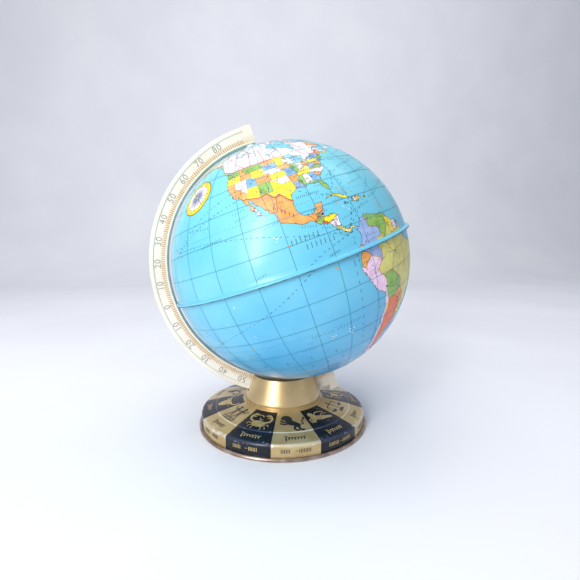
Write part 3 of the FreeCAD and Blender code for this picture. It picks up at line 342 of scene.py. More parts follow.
COUNTRIES = [
    # the Caribbean and Central America
    ("orange", """-117.2,32.5 -114.8,32.5 -111,31.3 -108.2,31.3 -106.6,31.9 -104.5,29.7 -103,29 -101.4,29.8
        -99.5,27.5 -97,25.5 -96,22 -94,17.8 -92,17.8 -92.2,14.4 -96,15 -106,18 -116,27"""),
    ("pink", "-113,27.8 -110.6,27.8 -108.6,22.5 -113,23.5"),
    ("orange", "-94.5,19 -92,14 -91,16 -89.5,17.8 -88,18.3 -86,19 -86,22 -91.5,22 -91.5,19"),
    ("green", "-92.3,14.5 -91.8,16 -90.5,16.2 -91.2,17.8 -89.2,17.8 -88.7,15.9 -89.3,14.5 -90.2,13.6"),
    ("pink", "-89.3,17.9 -87.9,18.4 -88,16 -89.2,16"),
    ("redorange", "-90.2,13.9 -89.3,14.4 -87.7,13.7 -87.8,12.9 -90,13"),
    ("yellow", "-89.3,14.5 -88.7,16 -83,16.2 -83,15 -85,14.5 -87,13 -87.9,13.5"),
    ("white", "-87.8,12.9 -85,14.5 -83,15.1 -83.3,11 -85.9,11.1"),
    ("olive", "-86.1,11.1 -83.5,11 -82.5,9.5 -83,8 -86.2,9.7"),
    ("paleyellow", "-83,8 -82.5,9.7 -79.6,9.8 -77.2,8.7 -77.7,7.2 -81,7"),
    ("yellow", "-85.2,21.7 -83,23.3 -80,23.4 -77,22 -74,20.2 -77.5,19.6 -79,21"),
    ("white", "-74.6,18.3 -73.5,20.1 -71.7,19.8 -71.7,17.9"),
    ("olive", "-71.7,17.9 -71.7,20 -68,18.7 -70.5,17.5"),
    ("yellow", "-67.4,18.6 -65.5,18.6 -65.5,17.8 -67.4,17.8"),
    ("olive", "-78.5,18.6 -76,18.4 -76.8,17.6"),
    # South America
    ("olive", """-74,-7 -72,-5 -70,-4 -69,1.5 -67,2 -65,1 -64,4 -60.5,5 -60,2 -56,2 -52,4.5 -33,6 -33,-34
        -57,-34 -70,-11"""),
    ("violet", """-79,1.6 -76,0 -75,-1 -71,-3 -70,-4.3 -69.5,-1 -70,1.8 -67,2 -67.5,6 -72,7 -72.7,11
        -71,13 -78.2,9 -78.5,3"""),
    ("green", """-72.8,11.2 -72.2,7.3 -67.5,6.2 -67.3,3 -65,1 -64,2.5 -62.8,4 -61,5.3 -61.5,8 -59.7,8.6
        -62,11 -71.5,12"""),
    ("yellow", "-61.4,8 -61,5.3 -60,5.2 -60,2 -58.5,1.3 -57.3,2 -57.9,4.5 -57,6.3 -59.8,8.8"),
    ("white", "-57.8,4.6 -57.3,2 -56,1.9 -54.5,2.3 -54,6.3 -57.2,6.3"),
    ("violet", "-54.3,2.4 -52.5,2.3 -51.5,4.3 -52,6 -54.1,6"),
    ("orange", "-81.5,-0.5 -80.2,1.2 -78.8,1.6 -76,0.1 -75.3,-1 -78.3,-3.2 -79.3,-4.8 -80.5,-3.8 -81.7,-3"),
    ("pink", """-81.9,-4 -80.4,-4.2 -79.3,-4.9 -78.3,-3.3 -75.3,-1 -73,-2.3 -70,-4.3 -73.5,-7.5
        -70.6,-10.8 -69,-15 -70,-18.4 -78,-14 -82,-6"""),
    ("green", """-70.6,-10.8 -65.4,-10 -60.5,-13.8 -58,-16.5 -58,-19.5 -62.5,-22.2 -67.5,-22.8 -69,-17.5
        -69,-13"""),
    ("orange", "-62.5,-22.2 -58,-19.8 -54.5,-24 -54.7,-27 -58.5,-27.2"),
    ("yellow", "-58.3,-34.3 -57.6,-30.2 -53.3,-33 -53.3,-35.5 -57,-36"),
    ("redorange", """-67.5,-22.8 -62.5,-22.2 -58.5,-27.2 -54.7,-27 -53.6,-26.3 -57.8,-30.2 -58.3,-34.3
        -55,-40 -62,-55.5 -69,-52.3 -72,-50 -71,-40 -70,-31"""),
    ("pink", """-70.4,-18.3 -69,-17.6 -67.8,-23 -70,-31 -71.3,-40 -72,-50 -69,-52.4 -66,-56.5 -78,-55
        -76,-40 -72,-26"""),
    # Europe and Asia
    ("green", """28,71 28,58 23,53 24,48 30,45 40,41 49,37 60,35 75,36 88,49 120,50 132,42 150,44 195,60
        195,80 60,83"""),
    ("pink", "4,58 11,59 12,64 20,69 29,70 31,72 0,72"),
    ("yellow", "11,59 12,55 20,55 24,66 20,69 12,64"),
    ("white", "20,69.2 29,70 31,62.5 28,60.3 20,59 24,66"),
    ("orange", "-10,36 -10,44.2 -1.8,43.5 3.3,42.4 3.5,38 -5.5,35.8"),
    ("green", "-10,36.8 -9.5,42.2 -6.3,41.8 -7.3,37"),
    ("violet", "-5.5,48.5 1.6,51 8,49 7,46 7.6,43.6 3.2,42.4 -1.8,43.4"),
    ("pink", "-11,49.5 2,50.8 2,54 -1,61 -9,59"),
    ("green", "-11,51 -5.5,52 -5.4,54.2 -7,55.5 -11,55"),
    ("olive", "2,51 7,54 7,50 5.5,49.5"),
    ("orange", "6.8,54 9,55 14.3,54.2 15,51 12.2,50.3 13.5,48.6 10,47.4 7.6,47.6 6.2,50"),
    ("yellow", "8,58 11,57.7 12.8,55 8,54.8"),
    ("pink", "14.3,54.2 18.5,55 23.5,54 24,50.5 22.5,49.2 15,51"),
    ("paleyellow", "12.2,50.3 15,51 22.5,49.2 22,48.2 13.5,48.6"),
    ("white", "6.2,47.3 9.5,47.5 10.3,46.4 7,45.9"),
    ("green", "9.8,47.3 13.5,48.8 17,48.2 16,46.6 10.3,46.6"),
    ("yellow", "7,43.7 7,46 13.6,46.4 13.7,45 19,41 16,37 12,36.4 8,39"),
    ("orange", "16,46.6 17,48.2 22.3,48.3 20.5,46"),
    ("blue", "13.6,46.4 16,46.6 20.5,46 22.5,44.3 21,41.2 19.5,42 13.6,44.6"),
    ("yellow", "20.5,46.1 22.4,48.3 27.5,48 30,45.4 28.3,43.8 22.5,44.2"),
    ("violet", "22.5,44.2 28.6,43.8 28.2,42 23,41.3"),
    ("pink", "19.3,39.8 21,41.3 26.5,41.6 27,35 21,36"),
    ("orange", "26,41.8 28.5,42 36,42.4 43.5,41.2 44.7,37.3 36.2,35.9 26,35.8"),
    ("yellow", "35.6,33.2 36.2,36.8 42.5,37.2 41,34.4"),
    ("green", "38.8,33.3 42.5,37.2 45.5,36 48.6,30 46.5,29.1"),
    ("pink", "34.2,29.3 35.5,33.3 39,32.5 37.5,29.5"),
    ("olive", "34.9,29.4 39,32.2 46.5,29.1 48.6,28.5 56,24.5 60.5,22.5 53,15 43,12 42,17"),
    ("orange", "43,12 42.8,17.3 52,19 56,20 53.5,15.5 45,12"),
    ("yellow", "44.7,37.3 44,39.5 48,39 54,37.3 61,36.6 61.5,31 63,27 61.5,24.8 50,28 48,30.5 45.5,34"),
    ("pink", "61,35.6 64.5,37.2 71.5,38 74.8,37.2 69.5,33 66.5,29.8 60.8,29.8"),
    ("green", "61.6,25 63,27 61,29.8 66.3,29.8 69.5,33 74.5,37 77,35.5 74,31 70,28 68,23.5"),
    ("orange", """74.8,37 79,35.5 78.5,31.5 81,30.2 88,27.8 92,27.8 97.3,28.3 95,25 93,22 88,21.3 80,5 72,14
        68,23.5 70,28 74,31"""),
    ("white", "80.2,30.3 88,27.9 88,26.5 83,27.4"),
    ("olive", "88.5,26.4 92.4,25.2 92.5,21 88.8,21.3"),
    ("violet", "93,22 95,25.5 97.5,28.2 98.8,24 101.2,21.4 97.6,18 98.5,10 97,15 92,19.5"),
    ("yellow", """74,39.5 80,42 83,47 87.5,49 91,45.3 96,42.8 105,41.7 111.5,43.5 119.8,46.8 116,49.8
        120.5,53 126,52.8 131,47.8 134.5,48.3 131,44.8 130.5,42.6 125,40 122,36 123.5,30 117,21 108,21.5
        101.2,21.4 98.8,24 97.5,28.2 92,27.9 88,27.9 81,30.3 78.5,31.6 79,35.5 74.8,37.2"""),
    ("orange", "87.8,49 98,52 116.5,49.8 119.8,46.8 111.5,43.5 105,41.7 96,42.8 91,45.3"),
    ("pink", "124.3,40 130.7,42.4 129,37.8 125,37.8"),
    ("green", "125,37.8 129,38.2 130,34 125,34"),
    ("pink", "128,31 128,34 139,46 147,44.5 142,33"),
    ("green", "97.5,18 101,20.2 104,18.2 105.5,15 102.7,12.5 100,13 99.3,9.6 102,6.3 99,7 98.3,10 98.5,16"),
    ("pink", "101,20.4 102.2,22.4 108,21.5 110,14 106,8 104.6,8.4 105.5,12 102.6,12 105.5,14.4 104,18.2"),
    ("orange", "102.3,12 103,14.3 107.4,14.4 106,11"),
    ("violet", "99.5,7 102,6.3 104,1 102,1"),
    ("orange", "94,6.5 94,4 105,-9 128,-11 141,-10 141,1 128,3 117,4.2 109,1 100,3"),
    ("yellow", "108.8,1 115,1.2 117.5,4.2 117,8 110,3"),
    ("pink", "141,0 156,-4 156,-12 141,-10"),
    ("yellow", "119,20 127,20 128,5 121,5 117,8"),
    ("olive", "79,10.5 82.5,8 80.5,5.5"),
    # Africa
    ("yellow", "-10,36 -1.9,36 -1.3,32 -8.7,28.8 -14,27.6"),
    ("green", "-1.9,36 8.5,38 8,33 9.8,30 12,23.5 3.3,19 -8.7,27.3 -8.7,29 -1.3,32"),
    ("orange", "8.5,38 11.8,37.5 11.5,33 9.8,30.3 8,33"),
    ("pink", "11.5,33.5 25,33 25,20 12,23.5 9.5,26.5 9.8,30.3"),
    ("orange", "25,33 34.3,31.4 37,22 25,22"),
    ("paleyellow", "25,22 37,22 38.5,18 36.5,14.5 34,10 35,5 31,3.6 27.5,5 24,9 22.5,12 24,20"),
    ("violet", "-18,21.2 -13,21.3 -13,23 -8.7,27.3 -5.5,16 -12.2,14.8 -17,16.2 -18,19"),
    ("yellow", "-8.7,27.3 -4.8,25 4.2,19.2 3.5,15.3 -4,13.3 -6,10.3 -11.4,12.4 -12,14.8 -5.5,15.5"),
    ("redorange", "4.2,19.2 12,23.5 15.5,23 13.5,13.8 4,12 3.5,15.3"),
    ("green", "15.5,23 24,20 22.5,12 22,11 15,8 15.2,10 13.5,13.8"),
    ("orange", "-18,16.5 -12.2,14.8 -11.4,12.4 -17,12.4"),
    ("pink", "-15.5,12.6 -8,12.4 -7.8,8.5 -13.5,7 -16,10"),
    ("green", "-13.5,7.5 -8.3,7.5 -7.4,4 -12,5"),
    ("yellow", "-8.4,10.3 -2.8,9.8 -3,4.6 -7.5,4 -8.3,7.5"),
    ("violet", "-2.9,11 0.2,11 1.2,5.5 -3,4.4"),
    ("orange", "0.2,11 3.5,12.2 2.7,6 1.1,5.8"),
    ("olive", "3.5,13.6 13.5,13.7 12,7.5 8.5,4 3,4.5 2.7,8"),
    ("pink", "13.5,13.6 15.3,10 15,4.8 16.2,1.7 9.3,1.9 8.5,4.6 12,7.5"),
    ("yellow", "15,8 22.5,11 27.4,5 18.5,3.6 16,2.2 15,5"),
    ("orange", "9,2.3 13.3,2.2 14.5,-2 11.5,-4.2 8,-1"),
    ("violet", "13.3,2.2 16.2,1.8 18.5,3.6 16,-2 12,-5.2 11.3,-4"),
    ("green", """18.5,3.6 27.4,5.2 31,2.3 29.5,-1.5 29.3,-4.5 31,-8.5 28.5,-9 29.8,-13.4 24,-11 22,-11
        21.7,-7.3 17,-8 12,-6 16,-2 18,0.5"""),
    ("orange", "27.5,5 35,5 41.5,3.9 42,-2 39.3,-5 34,-1 31,-1 30,1"),
    ("pink", "33,17.8 38.5,18 43.3,12.3 42,11 48,8 42,4 35.8,4.5 33.5,8 36,12.5"),
    ("yellow", "42.8,11.8 52,12.5 51,8 42,-2 41,0 42,4 48,8 42.9,10.5"),
    ("white", "30.8,-1 34,-1 37.7,-3.2 39.3,-4.7 41,-10.5 34.8,-11.6 32.8,-9.3 30,-6.5 29.3,-4.4"),
    ("pink", "11.5,-5.8 17,-8 21.7,-7.4 22,-11 24,-13 22,-16.2 23,-17.7 11,-17.3"),
    ("yellow", "22,-13 24,-11 29.8,-13.5 29,-11 30.8,-8.3 33.3,-9.6 32.8,-14 28.8,-16 25.3,-17.8 22,-16"),
    ("orange", "25.3,-17.8 30.2,-15.8 32.8,-17 32.4,-21 29.4,-22.2 27.3,-20.4"),
    ("redorange", """34.8,-11.5 41.5,-10.3 41.5,-16 36.5,-22 35.5,-26.8 32,-26.8 31.5,-22 33,-17
        30.4,-15.7 34.5,-14.5"""),
    ("green", "10.8,-17.3 23.3,-17.8 21,-18.3 20,-22 20,-28.4 16,-28.8 11,-20"),
    ("olive", "20,-22 21,-18.3 25.3,-17.8 29.4,-22.2 25.8,-25.5 20.3,-26.8"),
    ("yellow", """20,-24.8 20.3,-26.8 25.8,-25.6 29.5,-22.2 31.5,-22.5 33,-27 28,-36 17,-36 16,-28.6
        20,-28.4"""),
    ("violet", "42,-11 52,-11 51,-26.5 42,-26"),
    # the south and the far south
    ("green", "112,-12 129,-13 129,-36 112,-36"),
    ("yellow", "129,-10 138,-10.5 138,-26 129,-26"),
    ("orange", "138,-15 142,-9.5 154,-20 154,-28.3 141,-29 141,-26 138,-26"),
    ("pink", "129,-26 141,-26 141,-39 129,-33"),
    ("olive", "141,-29 154,-28.2 151,-38 149.5,-37.5 144,-35.5 141,-34"),
    ("blue", "141,-34 144,-35.5 150,-37.5 147,-39.5 141,-39.5"),
    ("redorange", "144,-40 149,-40 149,-44 144,-44"),
    ("yellow", "172,-34 180,-36 176,-42 173.5,-40"),
    ("pink", "166,-47.5 165,-44 172.5,-40.3 174.8,-42"),
    ("white", "-180,-60 180,-60 180,-90 -180,-90"),
]

PROVINCES = [
    "-141,60.1 -136,60 -128,60 -120,60 -110,60 -102,60 -95,60", "-120,60 -120,54 -117,51.8 -114,49",
    "-110,49 -110,60", "-102,60 -101.6,54 -101.4,49", "-95.2,49 -95.2,52.8 -89,56.6",
    "-79.4,51.4 -79.5,47 -77,45.7 -74.8,45.2", "-64.6,60 -64,55.5 -67,52.5 -62,51.7 -57.2,51.6",
    "-136.4,68.6 -132,65 -130,62.5 -124,60", "-110,60 -112,65 -120,68", "-69.5,47.3 -66.5,48 -64.6,46.2",
    "-108.8,31.4 -108.2,26 -107.5,25.2 -105.2,23", "-103.4,29.2 -104,25.4 -102,22",
]

RIVERS = [
    "-50,0 -55,-2.2 -60,-3.2 -65,-3.2 -70,-4 -74,-5 -75.5,-9", "-60,-3.2 -63,-7.5 -65.3,-10.5",
    "-55,-2.4 -57.5,-7 -58,-11", "-51.8,-1.5 -52.5,-5.5 -54.5,-12", "-48.6,-1.5 -49.2,-6 -48.2,-11",
    "-60,-3 -64,0 -67,1.5", "-44,-10 -45,-15 -44.6,-19", "-58.5,-34 -58,-28 -56,-22",
    "-61.5,8.8 -66,7.8 -67.5,5", "-89.4,29.4 -91,33 -89.5,37 -91,41 -93,45",
    "-90.2,38.8 -95.5,41 -100.5,45 -106,48 -111,46.8", "-97.2,26 -101.2,29.6 -106.4,31.8",
    "-124,46.2 -119,46 -118,49 -116,51", "-135,69 -128,65.5 -121,61.5 -114,61",
    "-165,62.5 -157,62 -150,65 -141,64.5", "30.5,31 32.5,24 33.5,19 32.5,15 32,9 31.5,3",
    "12.5,-6 17,-2 21,2 25,0 26,-6", "6,4.6 6,8 2,13 -3,16.5 -8,13", "36,-18.8 32,-16 27,-17.5 23,-15",
    "29.5,45.4 24,43.8 19,46 13,48.4", "48,46 46,49 49,54 44,56.2 37,57",
    "72,72 67,65.5 69,61 75,58 82,52", "83,70 87,64 91,56 94,51", "127,72 124,66 128,61 116,57 107,53.5",
    "121.8,31.6 116,30 110,30.5 103,27 97,33", "118.5,38 113,38.5 108,40.5 104,36 98,34.5",
    "90,22.5 89,26 95,28.5 85,29.3", "88,22 84,25.5 78,28", "67.5,24.5 70,29 74,34 78,34",
    "48,30.5 44,33.5 40,36.5", "138,-35 142,-33.5 148,-30", "141,53 135,48.5 127,51 120,53",
]

ROUTES = [
    "-122.6,37.6 -140,32 -157.6,21.4 -172,8 -180,-2", "180,-2 178,-17 175,-34",
    "-118.4,33.6 -138,29.5 -157.6,21.4", "-80,7.6 -96,11 -118,17.5 -138,21 -157.6,21.4",
    "-80,7.4 -96,3 -118,-8 -149,-17.5 -168,-24 -180,-33", "-157.6,21.4 -168,26 -180,29.5",
    "180,29.5 160,33.5 141,35", "-123.5,48.5 -140,51.5 -160,51.5 -180,48.5", "180,48.5 160,43 141,36.5",
    "-80.2,9.6 -76,16 -74,24 -74.2,38", "-80.2,9.6 -66,19 -45,33 -20,44 -6,48.6",
    "-73.4,40.2 -60,42.2 -40,46.5 -15,50 -6,49.6", "-74,39.8 -58,38 -30,37.6 -10,37",
    "-93.5,28.6 -86,24.6 -80.2,24.6 -74,34", "-34.4,-7.4 -27,4 -19,16 -15,28 -10,38",
    "-43,-23.4 -36,-12 -34.4,-7.4", "-57,-36 -46,-26 -43,-23.6", "-71.8,-33 -76,-14 -81.5,-3 -80,7.4",
    "18,-34.4 0,-20 -14,0 -19,15", "18,-35 45,-32 80,-33 115,-34.6", "51.5,11.4 60,8 72,18.4",
    "72.4,18.2 75,8 80,5.5 95,6", "104,1 110,10 114.5,21.5", "-172,8 -160,-8 -149,-17.5",
]

DASHED_MERIDIANS = "-83.6 -27.4"
CIRCLES = "66.5 23.45 -23.45 -66.5"

# Rows of plain marks in place of the map's captions: first mark, last mark, how many and how tall.
CAPTIONS = [
    ("-103.6,9.9", "-93.4,10.3", 7, 1.9), ("-98.8,7", "-88.4,6.9", 7, 1.9),
    ("-77.5,13.6", "-66.5,15.6", 9, 1.1), ("-95.6,25.6", "-86,25.4", 12, 1.0),
    ("-105.6,24.4", "-99.4,19.4", 6, 1.5), ("-149,28", "-136,26.5", 10, 0.8),
    ("-122.6,27.8", "-117.6,28.4", 5, 0.7), ("-122,24.9", "-116.6,25.6", 6, 0.7),
    ("-140,19.4", "-130,20.4", 11, 0.8), ("-113.6,18.2", "-106,19.2", 8, 0.6),
    ("-120,2", "-116,3", 5, 0.8), ("-92,1.6", "-88,2.2", 7, 0.9), ("-140,-27", "-134,-26.4", 6, 0.7),
    ("-141,-29", "-136,-28.4", 5, 0.7), ("-151,-36", "-99,-38", 5, 1.7),
    ("-133,-43", "-95,-44.6", 5, 1.7), ("-108,-25", "-98.6,-25.4", 9, 0.8),
    ("-96.4,-25.2", "-86,-24.6", 8, 0.8), ("-114,-31", "-108.6,-31.2", 5, 0.7),
    ("-82.6,-31", "-77.8,-31.4", 4, 0.7), ("-68,34", "-54,36.4", 12, 0.9), ("-66,29", "-50,31", 14, 0.8),
    ("-70,25", "-60,26.4", 9, 0.8), ("-48,22", "-30,24", 14, 0.9), ("-60,20", "-48,21.6", 9, 0.7),
    ("-44,40", "-26,43", 12, 1.0), ("-40,8", "-24,9", 9, 1.1), ("-32,-16", "-8,-18", 8, 1.6),
    ("-28,-26", "-4,-29", 8, 1.6), ("56,-8", "78,-12", 7, 1.7), ("58,-24", "84,-27", 8, 1.7),
    ("82,15", "92,14", 8, 1.0), ("60,17", "68,16", 7, 1.0), ("150,36", "176,33", 8, 1.6),
    ("148,8", "172,6", 9, 1.3), ("-176,-12", "-158,-14", 8, 1.2), ("118,28", "126,24", 6, 0.8),
    ("156,-32", "168,-36", 7, 1.1), ("-4,78", "24,74", 7, 1.3), ("0,58.6", "4,55", 4, 0.8),
    ("4,39.4", "12,38.6", 7, 0.7), ("22,34", "32,33.4", 9, 0.7), ("-86,60.6", "-82,56.6", 5, 1.1),
    ("-12,64", "2,66", 6, 1.0), ("-58,60", "-48,56", 7, 0.9), ("-98,14.6", "-93,13.4", 6, 0.8),
    ("-91,11.8", "-87.5,11", 5, 0.8), ("-85.8,8", "-82.4,6.4", 5, 0.8),
    ("-82,12.6", "-77.4,13.4", 5, 0.7), ("-78,31", "-71,32.6", 7, 0.8), ("-64,17.4", "-57,18.6", 7, 0.8),
    ("110,16", "116,10", 6, 0.9), ("146,50", "152,55", 5, 0.8), ("160,-46", "178,-52", 6, 0.8),
]

CHIPS = "-97.5,-27.6 -90.2,-26.8 -89.4,-29.4 -99.2,-28.2 -108,14 -133,-2 -70,40 -30,12 40,-30 96,-8 150,20"

ISLETS = """-157.9,21.4 -159.5,22.1 -171.8,-13.8 -149.4,-17.6 -139,-9.8 -134.9,-23.1 -109.3,-27.1
    -90.6,-0.6 -91.3,-0.2 -78.8,-33.7 178,-17.8 166.6,-19 144.8,13.4 134.5,7.4 158.2,6.9 171.3,7.1
    -176.6,0.2 -151.8,-16.5 -160,-21.2 -25.5,37.8 -28,38.6 -16.9,32.7 -15.6,28.1 -24,15.1 -14.4,-7.9
    -5.7,-15.9 -64.7,32.3 -61.4,13.2 -61.2,14.6 -61.6,16.2 -59.5,13.1 -61.7,12.1 -77.4,25.1 -76,24
    -74.5,22.6 57.6,-20.2 55.5,-21.1 55.5,-4.6 73,3.2 92.8,12 -155,-50.5 -170,53 -176,52 176,52 -67,18.2
    -72,21.8 -81.3,19.3 -105,10.3"""

# ---------------------------------------------------------------- curves and outlines

def numbers(words):
    """Points from a string of pairs."""
    return [tuple(float(value) for value in pair.split(",")) for pair in words.split()]


def smooth(points, steps, closed=False):
    """A curve through the points, with this many steps from each to the next."""
    count = len(points)
    ends = range(count if closed else count - 1)
    line = []
    for i in ends:
        if closed:
            around = [points[(i + k) % count] for k in (-1, 0, 1, 2)]
        else:
            around = [points[min(max(i + k, 0), count - 1)] for k in (-1, 0, 1, 2)]
        for step in range(steps):
            t = step / steps
            weights = (
                (-t + 2 * t ** 2 - t ** 3) / 2, (2 - 5 * t ** 2 + 3 * t ** 3) / 2,
                (t + 4 * t ** 2 - 3 * t ** 3) / 2, (t ** 3 - t ** 2) / 2)
            line.append(tuple(sum(w * p[axis] for w, p in zip(weights, around)) for axis in (0, 1)))
    return line if closed else line + [points[-1]]


def bent(start, end, step, wiggle, flat):
    """Points from start up to, not with, end; a slanting run wanders the same way in both directions."""
    shrink = 1.0 if flat else max(math.cos(math.radians((start[1] + end[1]) / 2)), 0.2)
    if math.hypot((end[0] - start[0]) * shrink, end[1] - start[1]) <= step:
        return [start]
    middle = ((start[0] + end[0]) / 2, (start[1] + end[1]) / 2)
    if wiggle and start[0] != end[0] and start[1] != end[1]:
        low, high = sorted((start, end))
        push = wiggle * random.Random("%.3f %.3f" % middle).uniform(-1, 1)
        middle = (middle[0] - push * (high[1] - low[1]), middle[1] + push * (high[0] - low[0]))
    return bent(start, middle, step, wiggle, flat) + bent(middle, end, step, wiggle, flat)


def divided(points, step, wiggle=0.0, flat=False, closed=True):
    """An outline or a line with short edges; unless flat, its points are longitudes and latitudes."""
    count = len(points)
    line = []
    for i in range(count if closed else count - 1):
        line += bent(points[i], points[(i + 1) % count], step, wiggle, flat)
    return line if closed else line + [points[-1]]


def within(outline, places):
    """Which of the places, an array of points, lie inside an outline."""
    x, y = places[:, 0], places[:, 1]
    inside = numpy.zeros(len(places), bool)
    for (ax, ay), (bx, by) in zip(outline, outline[1:] + outline[:1]):
        if ay != by:
            inside ^= ((ay > y) != (by > y)) & (x < ax + (y - ay) * (bx - ax) / (by - ay))
    return inside


def triangulated(outlines, dots):
    """Flat points, triangles along every outline, and the outlines that each triangle lies in."""
    points = []
    edges = []
    for outline in outlines:
        first = len(points)
        count = len(outline)
        points += [Vector(point) for point in outline]
        edges += [(first + i, first + (i + 1) % count) for i in range(count)]
    points += [Vector(dot) for dot in dots]
    result = delaunay_2d_cdt(points, edges, [], 0, 1e-5)
    points, triangles = result[0], result[2]
    places = numpy.array([tuple(point) for point in points])
    middles = places[numpy.array(triangles)].mean(axis=1)
    owners = [[] for _ in triangles]
    for number, outline in enumerate(outlines):
        low, high = numpy.min(outline, axis=0), numpy.max(outline, axis=0)
        near = numpy.flatnonzero(((middles > low) & (middles < high)).all(axis=1))
        for i in near[within(outline, middles[near])]:
            owners[i].append(number)
    return points, triangles, owners


def chains(edges):
    """The lines that a set of edges joins up into."""
    links = {}
    for a, b in edges:
        links.setdefault(a, []).append(b)
        links.setdefault(b, []).append(a)
    left = {tuple(sorted(edge)) for edge in edges}
    lines = []
    for start in [v for v in sorted(links) if len(links[v]) != 2] + sorted(links):
        for after in links[start]:
            line = [start]
            there = after
            while tuple(sorted((line[-1], there))) in left:
                left.discard(tuple(sorted((line[-1], there))))
                line.append(there)
                if len(links[there]) != 2:
                    break
                there = next(v for v in links[there] if v != line[-2])
            if len(line) > 1:
                lines.append(line)
    return lines


def dashed(line, dash, gap):
    """The dashes along a line, both lengths in the line's own units."""
    parts = [[]]
    travelled = 0.0
    for a, b in zip(line, line[1:]):
        run = math.dist(a, b)
        steps = max(1, math.ceil(run / (dash / 2)))
        for step in range(steps):
            t = step / steps
            if travelled % (dash + gap) < dash:
                parts[-1].append((a[0] + (b[0] - a[0]) * t, a[1] + (b[1] - a[1]) * t))
            elif parts[-1]:
                parts.append([])
            travelled += run / steps
    return [part for part in parts if len(part) > 1]


# ---------------------------------------------------------------- meshes


SHARPEST_LEAN = 0.6                 # keeps a ribbon's mitres short where it turns sharply


def apart(spots):
    """The points and the normals of spots, which are pairs of one of each."""
    return [point for point, _ in spots], [normal for _, normal in spots]


class Drawing:
    """A mesh in the making: points, the way each faces, and faces with the number of their colour."""

    def __init__(self):
        self.points = []
        self.normals = []
        self.faces = []
        self.colours = []

    def add(self, points, normals, faces, colour=0):
        """Adds some faces, numbered from the first of these points."""
        first = len(self.points)
        self.points += points
        self.normals += normals
        self.faces += [tuple(first + i for i in face) for face in faces]
        self.colours += [colour] * len(faces)

    def ribbon(self, points, normals, widths, colour=0, closed=False):
        """Adds a flat strip along the points; widths is one width, or one for each point."""
        count = len(points)
        if count < 2:
            return
        if not isinstance(widths, (list, tuple)):
            widths = [widths] * count
        sides = []
        for i, (point, normal, width) in enumerate(zip(points, normals, widths)):
            before = points[i - 1] if i or closed else point
            after = points[(i + 1) % count] if i + 1 < count or closed else point
            inward = (point - before).normalized()
            onward = (after - point).normalized()
            across = normal.cross(inward + onward).normalized()
            lean = across.dot(normal.cross(onward if after != point else inward).normalized())
            lean = max(lean, SHARPEST_LEAN)
            sides += [point + across * width / 2 / lean, point - across * width / 2 / lean]
        turns = count if closed else count - 1
        faces = []
        for i in range(turns):
            j = (i + 1) % count
            faces.append((2 * i, 2 * i + 1, 2 * j + 1, 2 * j))
        self.add(sides, [normal for normal in normals for _ in (0, 1)], faces, colour)

    def disc(self, centre, normal, radius, colour=0, corners=8):
        """Adds a small flat disc."""
        across = normal.orthogonal().normalized()
        along = normal.cross(across)
        angles = [FULL_TURN * i / corners for i in range(corners)]
        rim = [centre + radius * (math.cos(a) * across + math.sin(a) * along) for a in angles]
        self.add(rim, [normal] * corners, [tuple(range(corners))], colour)

    def made(self, name, materials, body, slot, *replaced, faceted=False):
        """The finished piece, riding on its body."""
        mesh = bpy.data.meshes.new(name)
        mesh.from_pydata(self.points, [], self.faces)
        for material in materials:
            mesh.materials.append(material)
        mesh.polygons.foreach_set("material_index", self.colours)
        if not faceted:
            mesh.shade_smooth()
            mesh.normals_split_custom_set_from_vertices(self.normals)
        return settled(mesh, name, body, slot, *replaced)


def settled(mesh, name, body, slot, *replaced):
    """Puts a mesh in the scene as a piece of one body."""
    thing = bpy.data.objects.new(name, mesh)
    bpy.context.scene.collection.objects.link(thing)
    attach(thing, body)
    if replaced:
        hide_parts(*replaced)
    return thing


def lathe(name, outline, steps, place, materials, slot, body, *replaced, crease=35):
    """A closed section turned full circle; place puts (angle, radius, height) in the row frame."""
    count = len(outline)
    points = []
    faces = []
    for step in range(steps):
        angle = FULL_TURN * step / steps
        points += [place(angle, radius, height) for radius, height in outline]
        here = step * count
        there = (step + 1) % steps * count
        for i in range(count):
            j = (i + 1) % count
            faces.append((here + i, here + j, there + j, there + i))
    mesh = bpy.data.meshes.new(name)
    mesh.from_pydata(points, [], faces)
    for material in materials:
        mesh.materials.append(material)
    shell = bmesh.new()
    shell.from_mesh(mesh)
    bmesh.ops.recalc_face_normals(shell, faces=shell.faces)
    shell.to_mesh(mesh)
    shell.free()
    mesh.shade_smooth()
    mesh.set_sharp_from_angle(angle=math.radians(crease))
    return settled(mesh, name, body, slot, *replaced)


def upright(angle, radius, height):
    """A place round the base's axis."""
    return Vector((radius * math.cos(angle), radius * math.sin(angle), height))


def round_the_poles(angle, radius, height):
    """A place round the polar axis, height above the equator."""
    return CENTRE + NORTH * height + radius * (math.cos(angle) * AWAY + math.sin(angle) * SIDE)


def ray(lon, lat):
    """The way out of the globe at a place on the map."""
    turn = math.radians(lon + MAP_TURN)
    rise = math.radians(lat)
    level = math.cos(turn) * AWAY + math.sin(turn) * SIDE
    return math.sin(rise) * NORTH - math.cos(rise) * level


def printed(lat, half):
    """Where a latitude is printed on the northern or the southern half."""
    if half == "north":
        return lat
    return lat - SOUTH_SHIFT * (1 - abs(lat) / 90)


def in_half(lat, half):
    """Whether a latitude shows on this half."""
    return NORTH_EDGE < lat < POLE_EDGE if half == "north" else -POLE_EDGE < lat < SOUTH_EDGE


def map_points(places, lift, half):
    """Row-frame points and normals for places on the map."""
    normals = [ray(lon, printed(lat, half)) for lon, lat in places]
    return [CENTRE + normal * (GLOBE_RADIUS + lift) for normal in normals], normals


HALVES = ("north", "south")


def map_line(drawings, line, width, lift, colour=0):
    """Draws a line of the map on both halves, each as far as it shows."""
    for half in HALVES:
        run = []
        for place in line + [None]:
            if place is not None and in_half(place[1], half):
                run.append(place)
                continue
            if len(run) > 1:
                drawings[half].ribbon(*map_points(run, lift, half), width, colour)
            run = []


# ---------------------------------------------------------------- materials

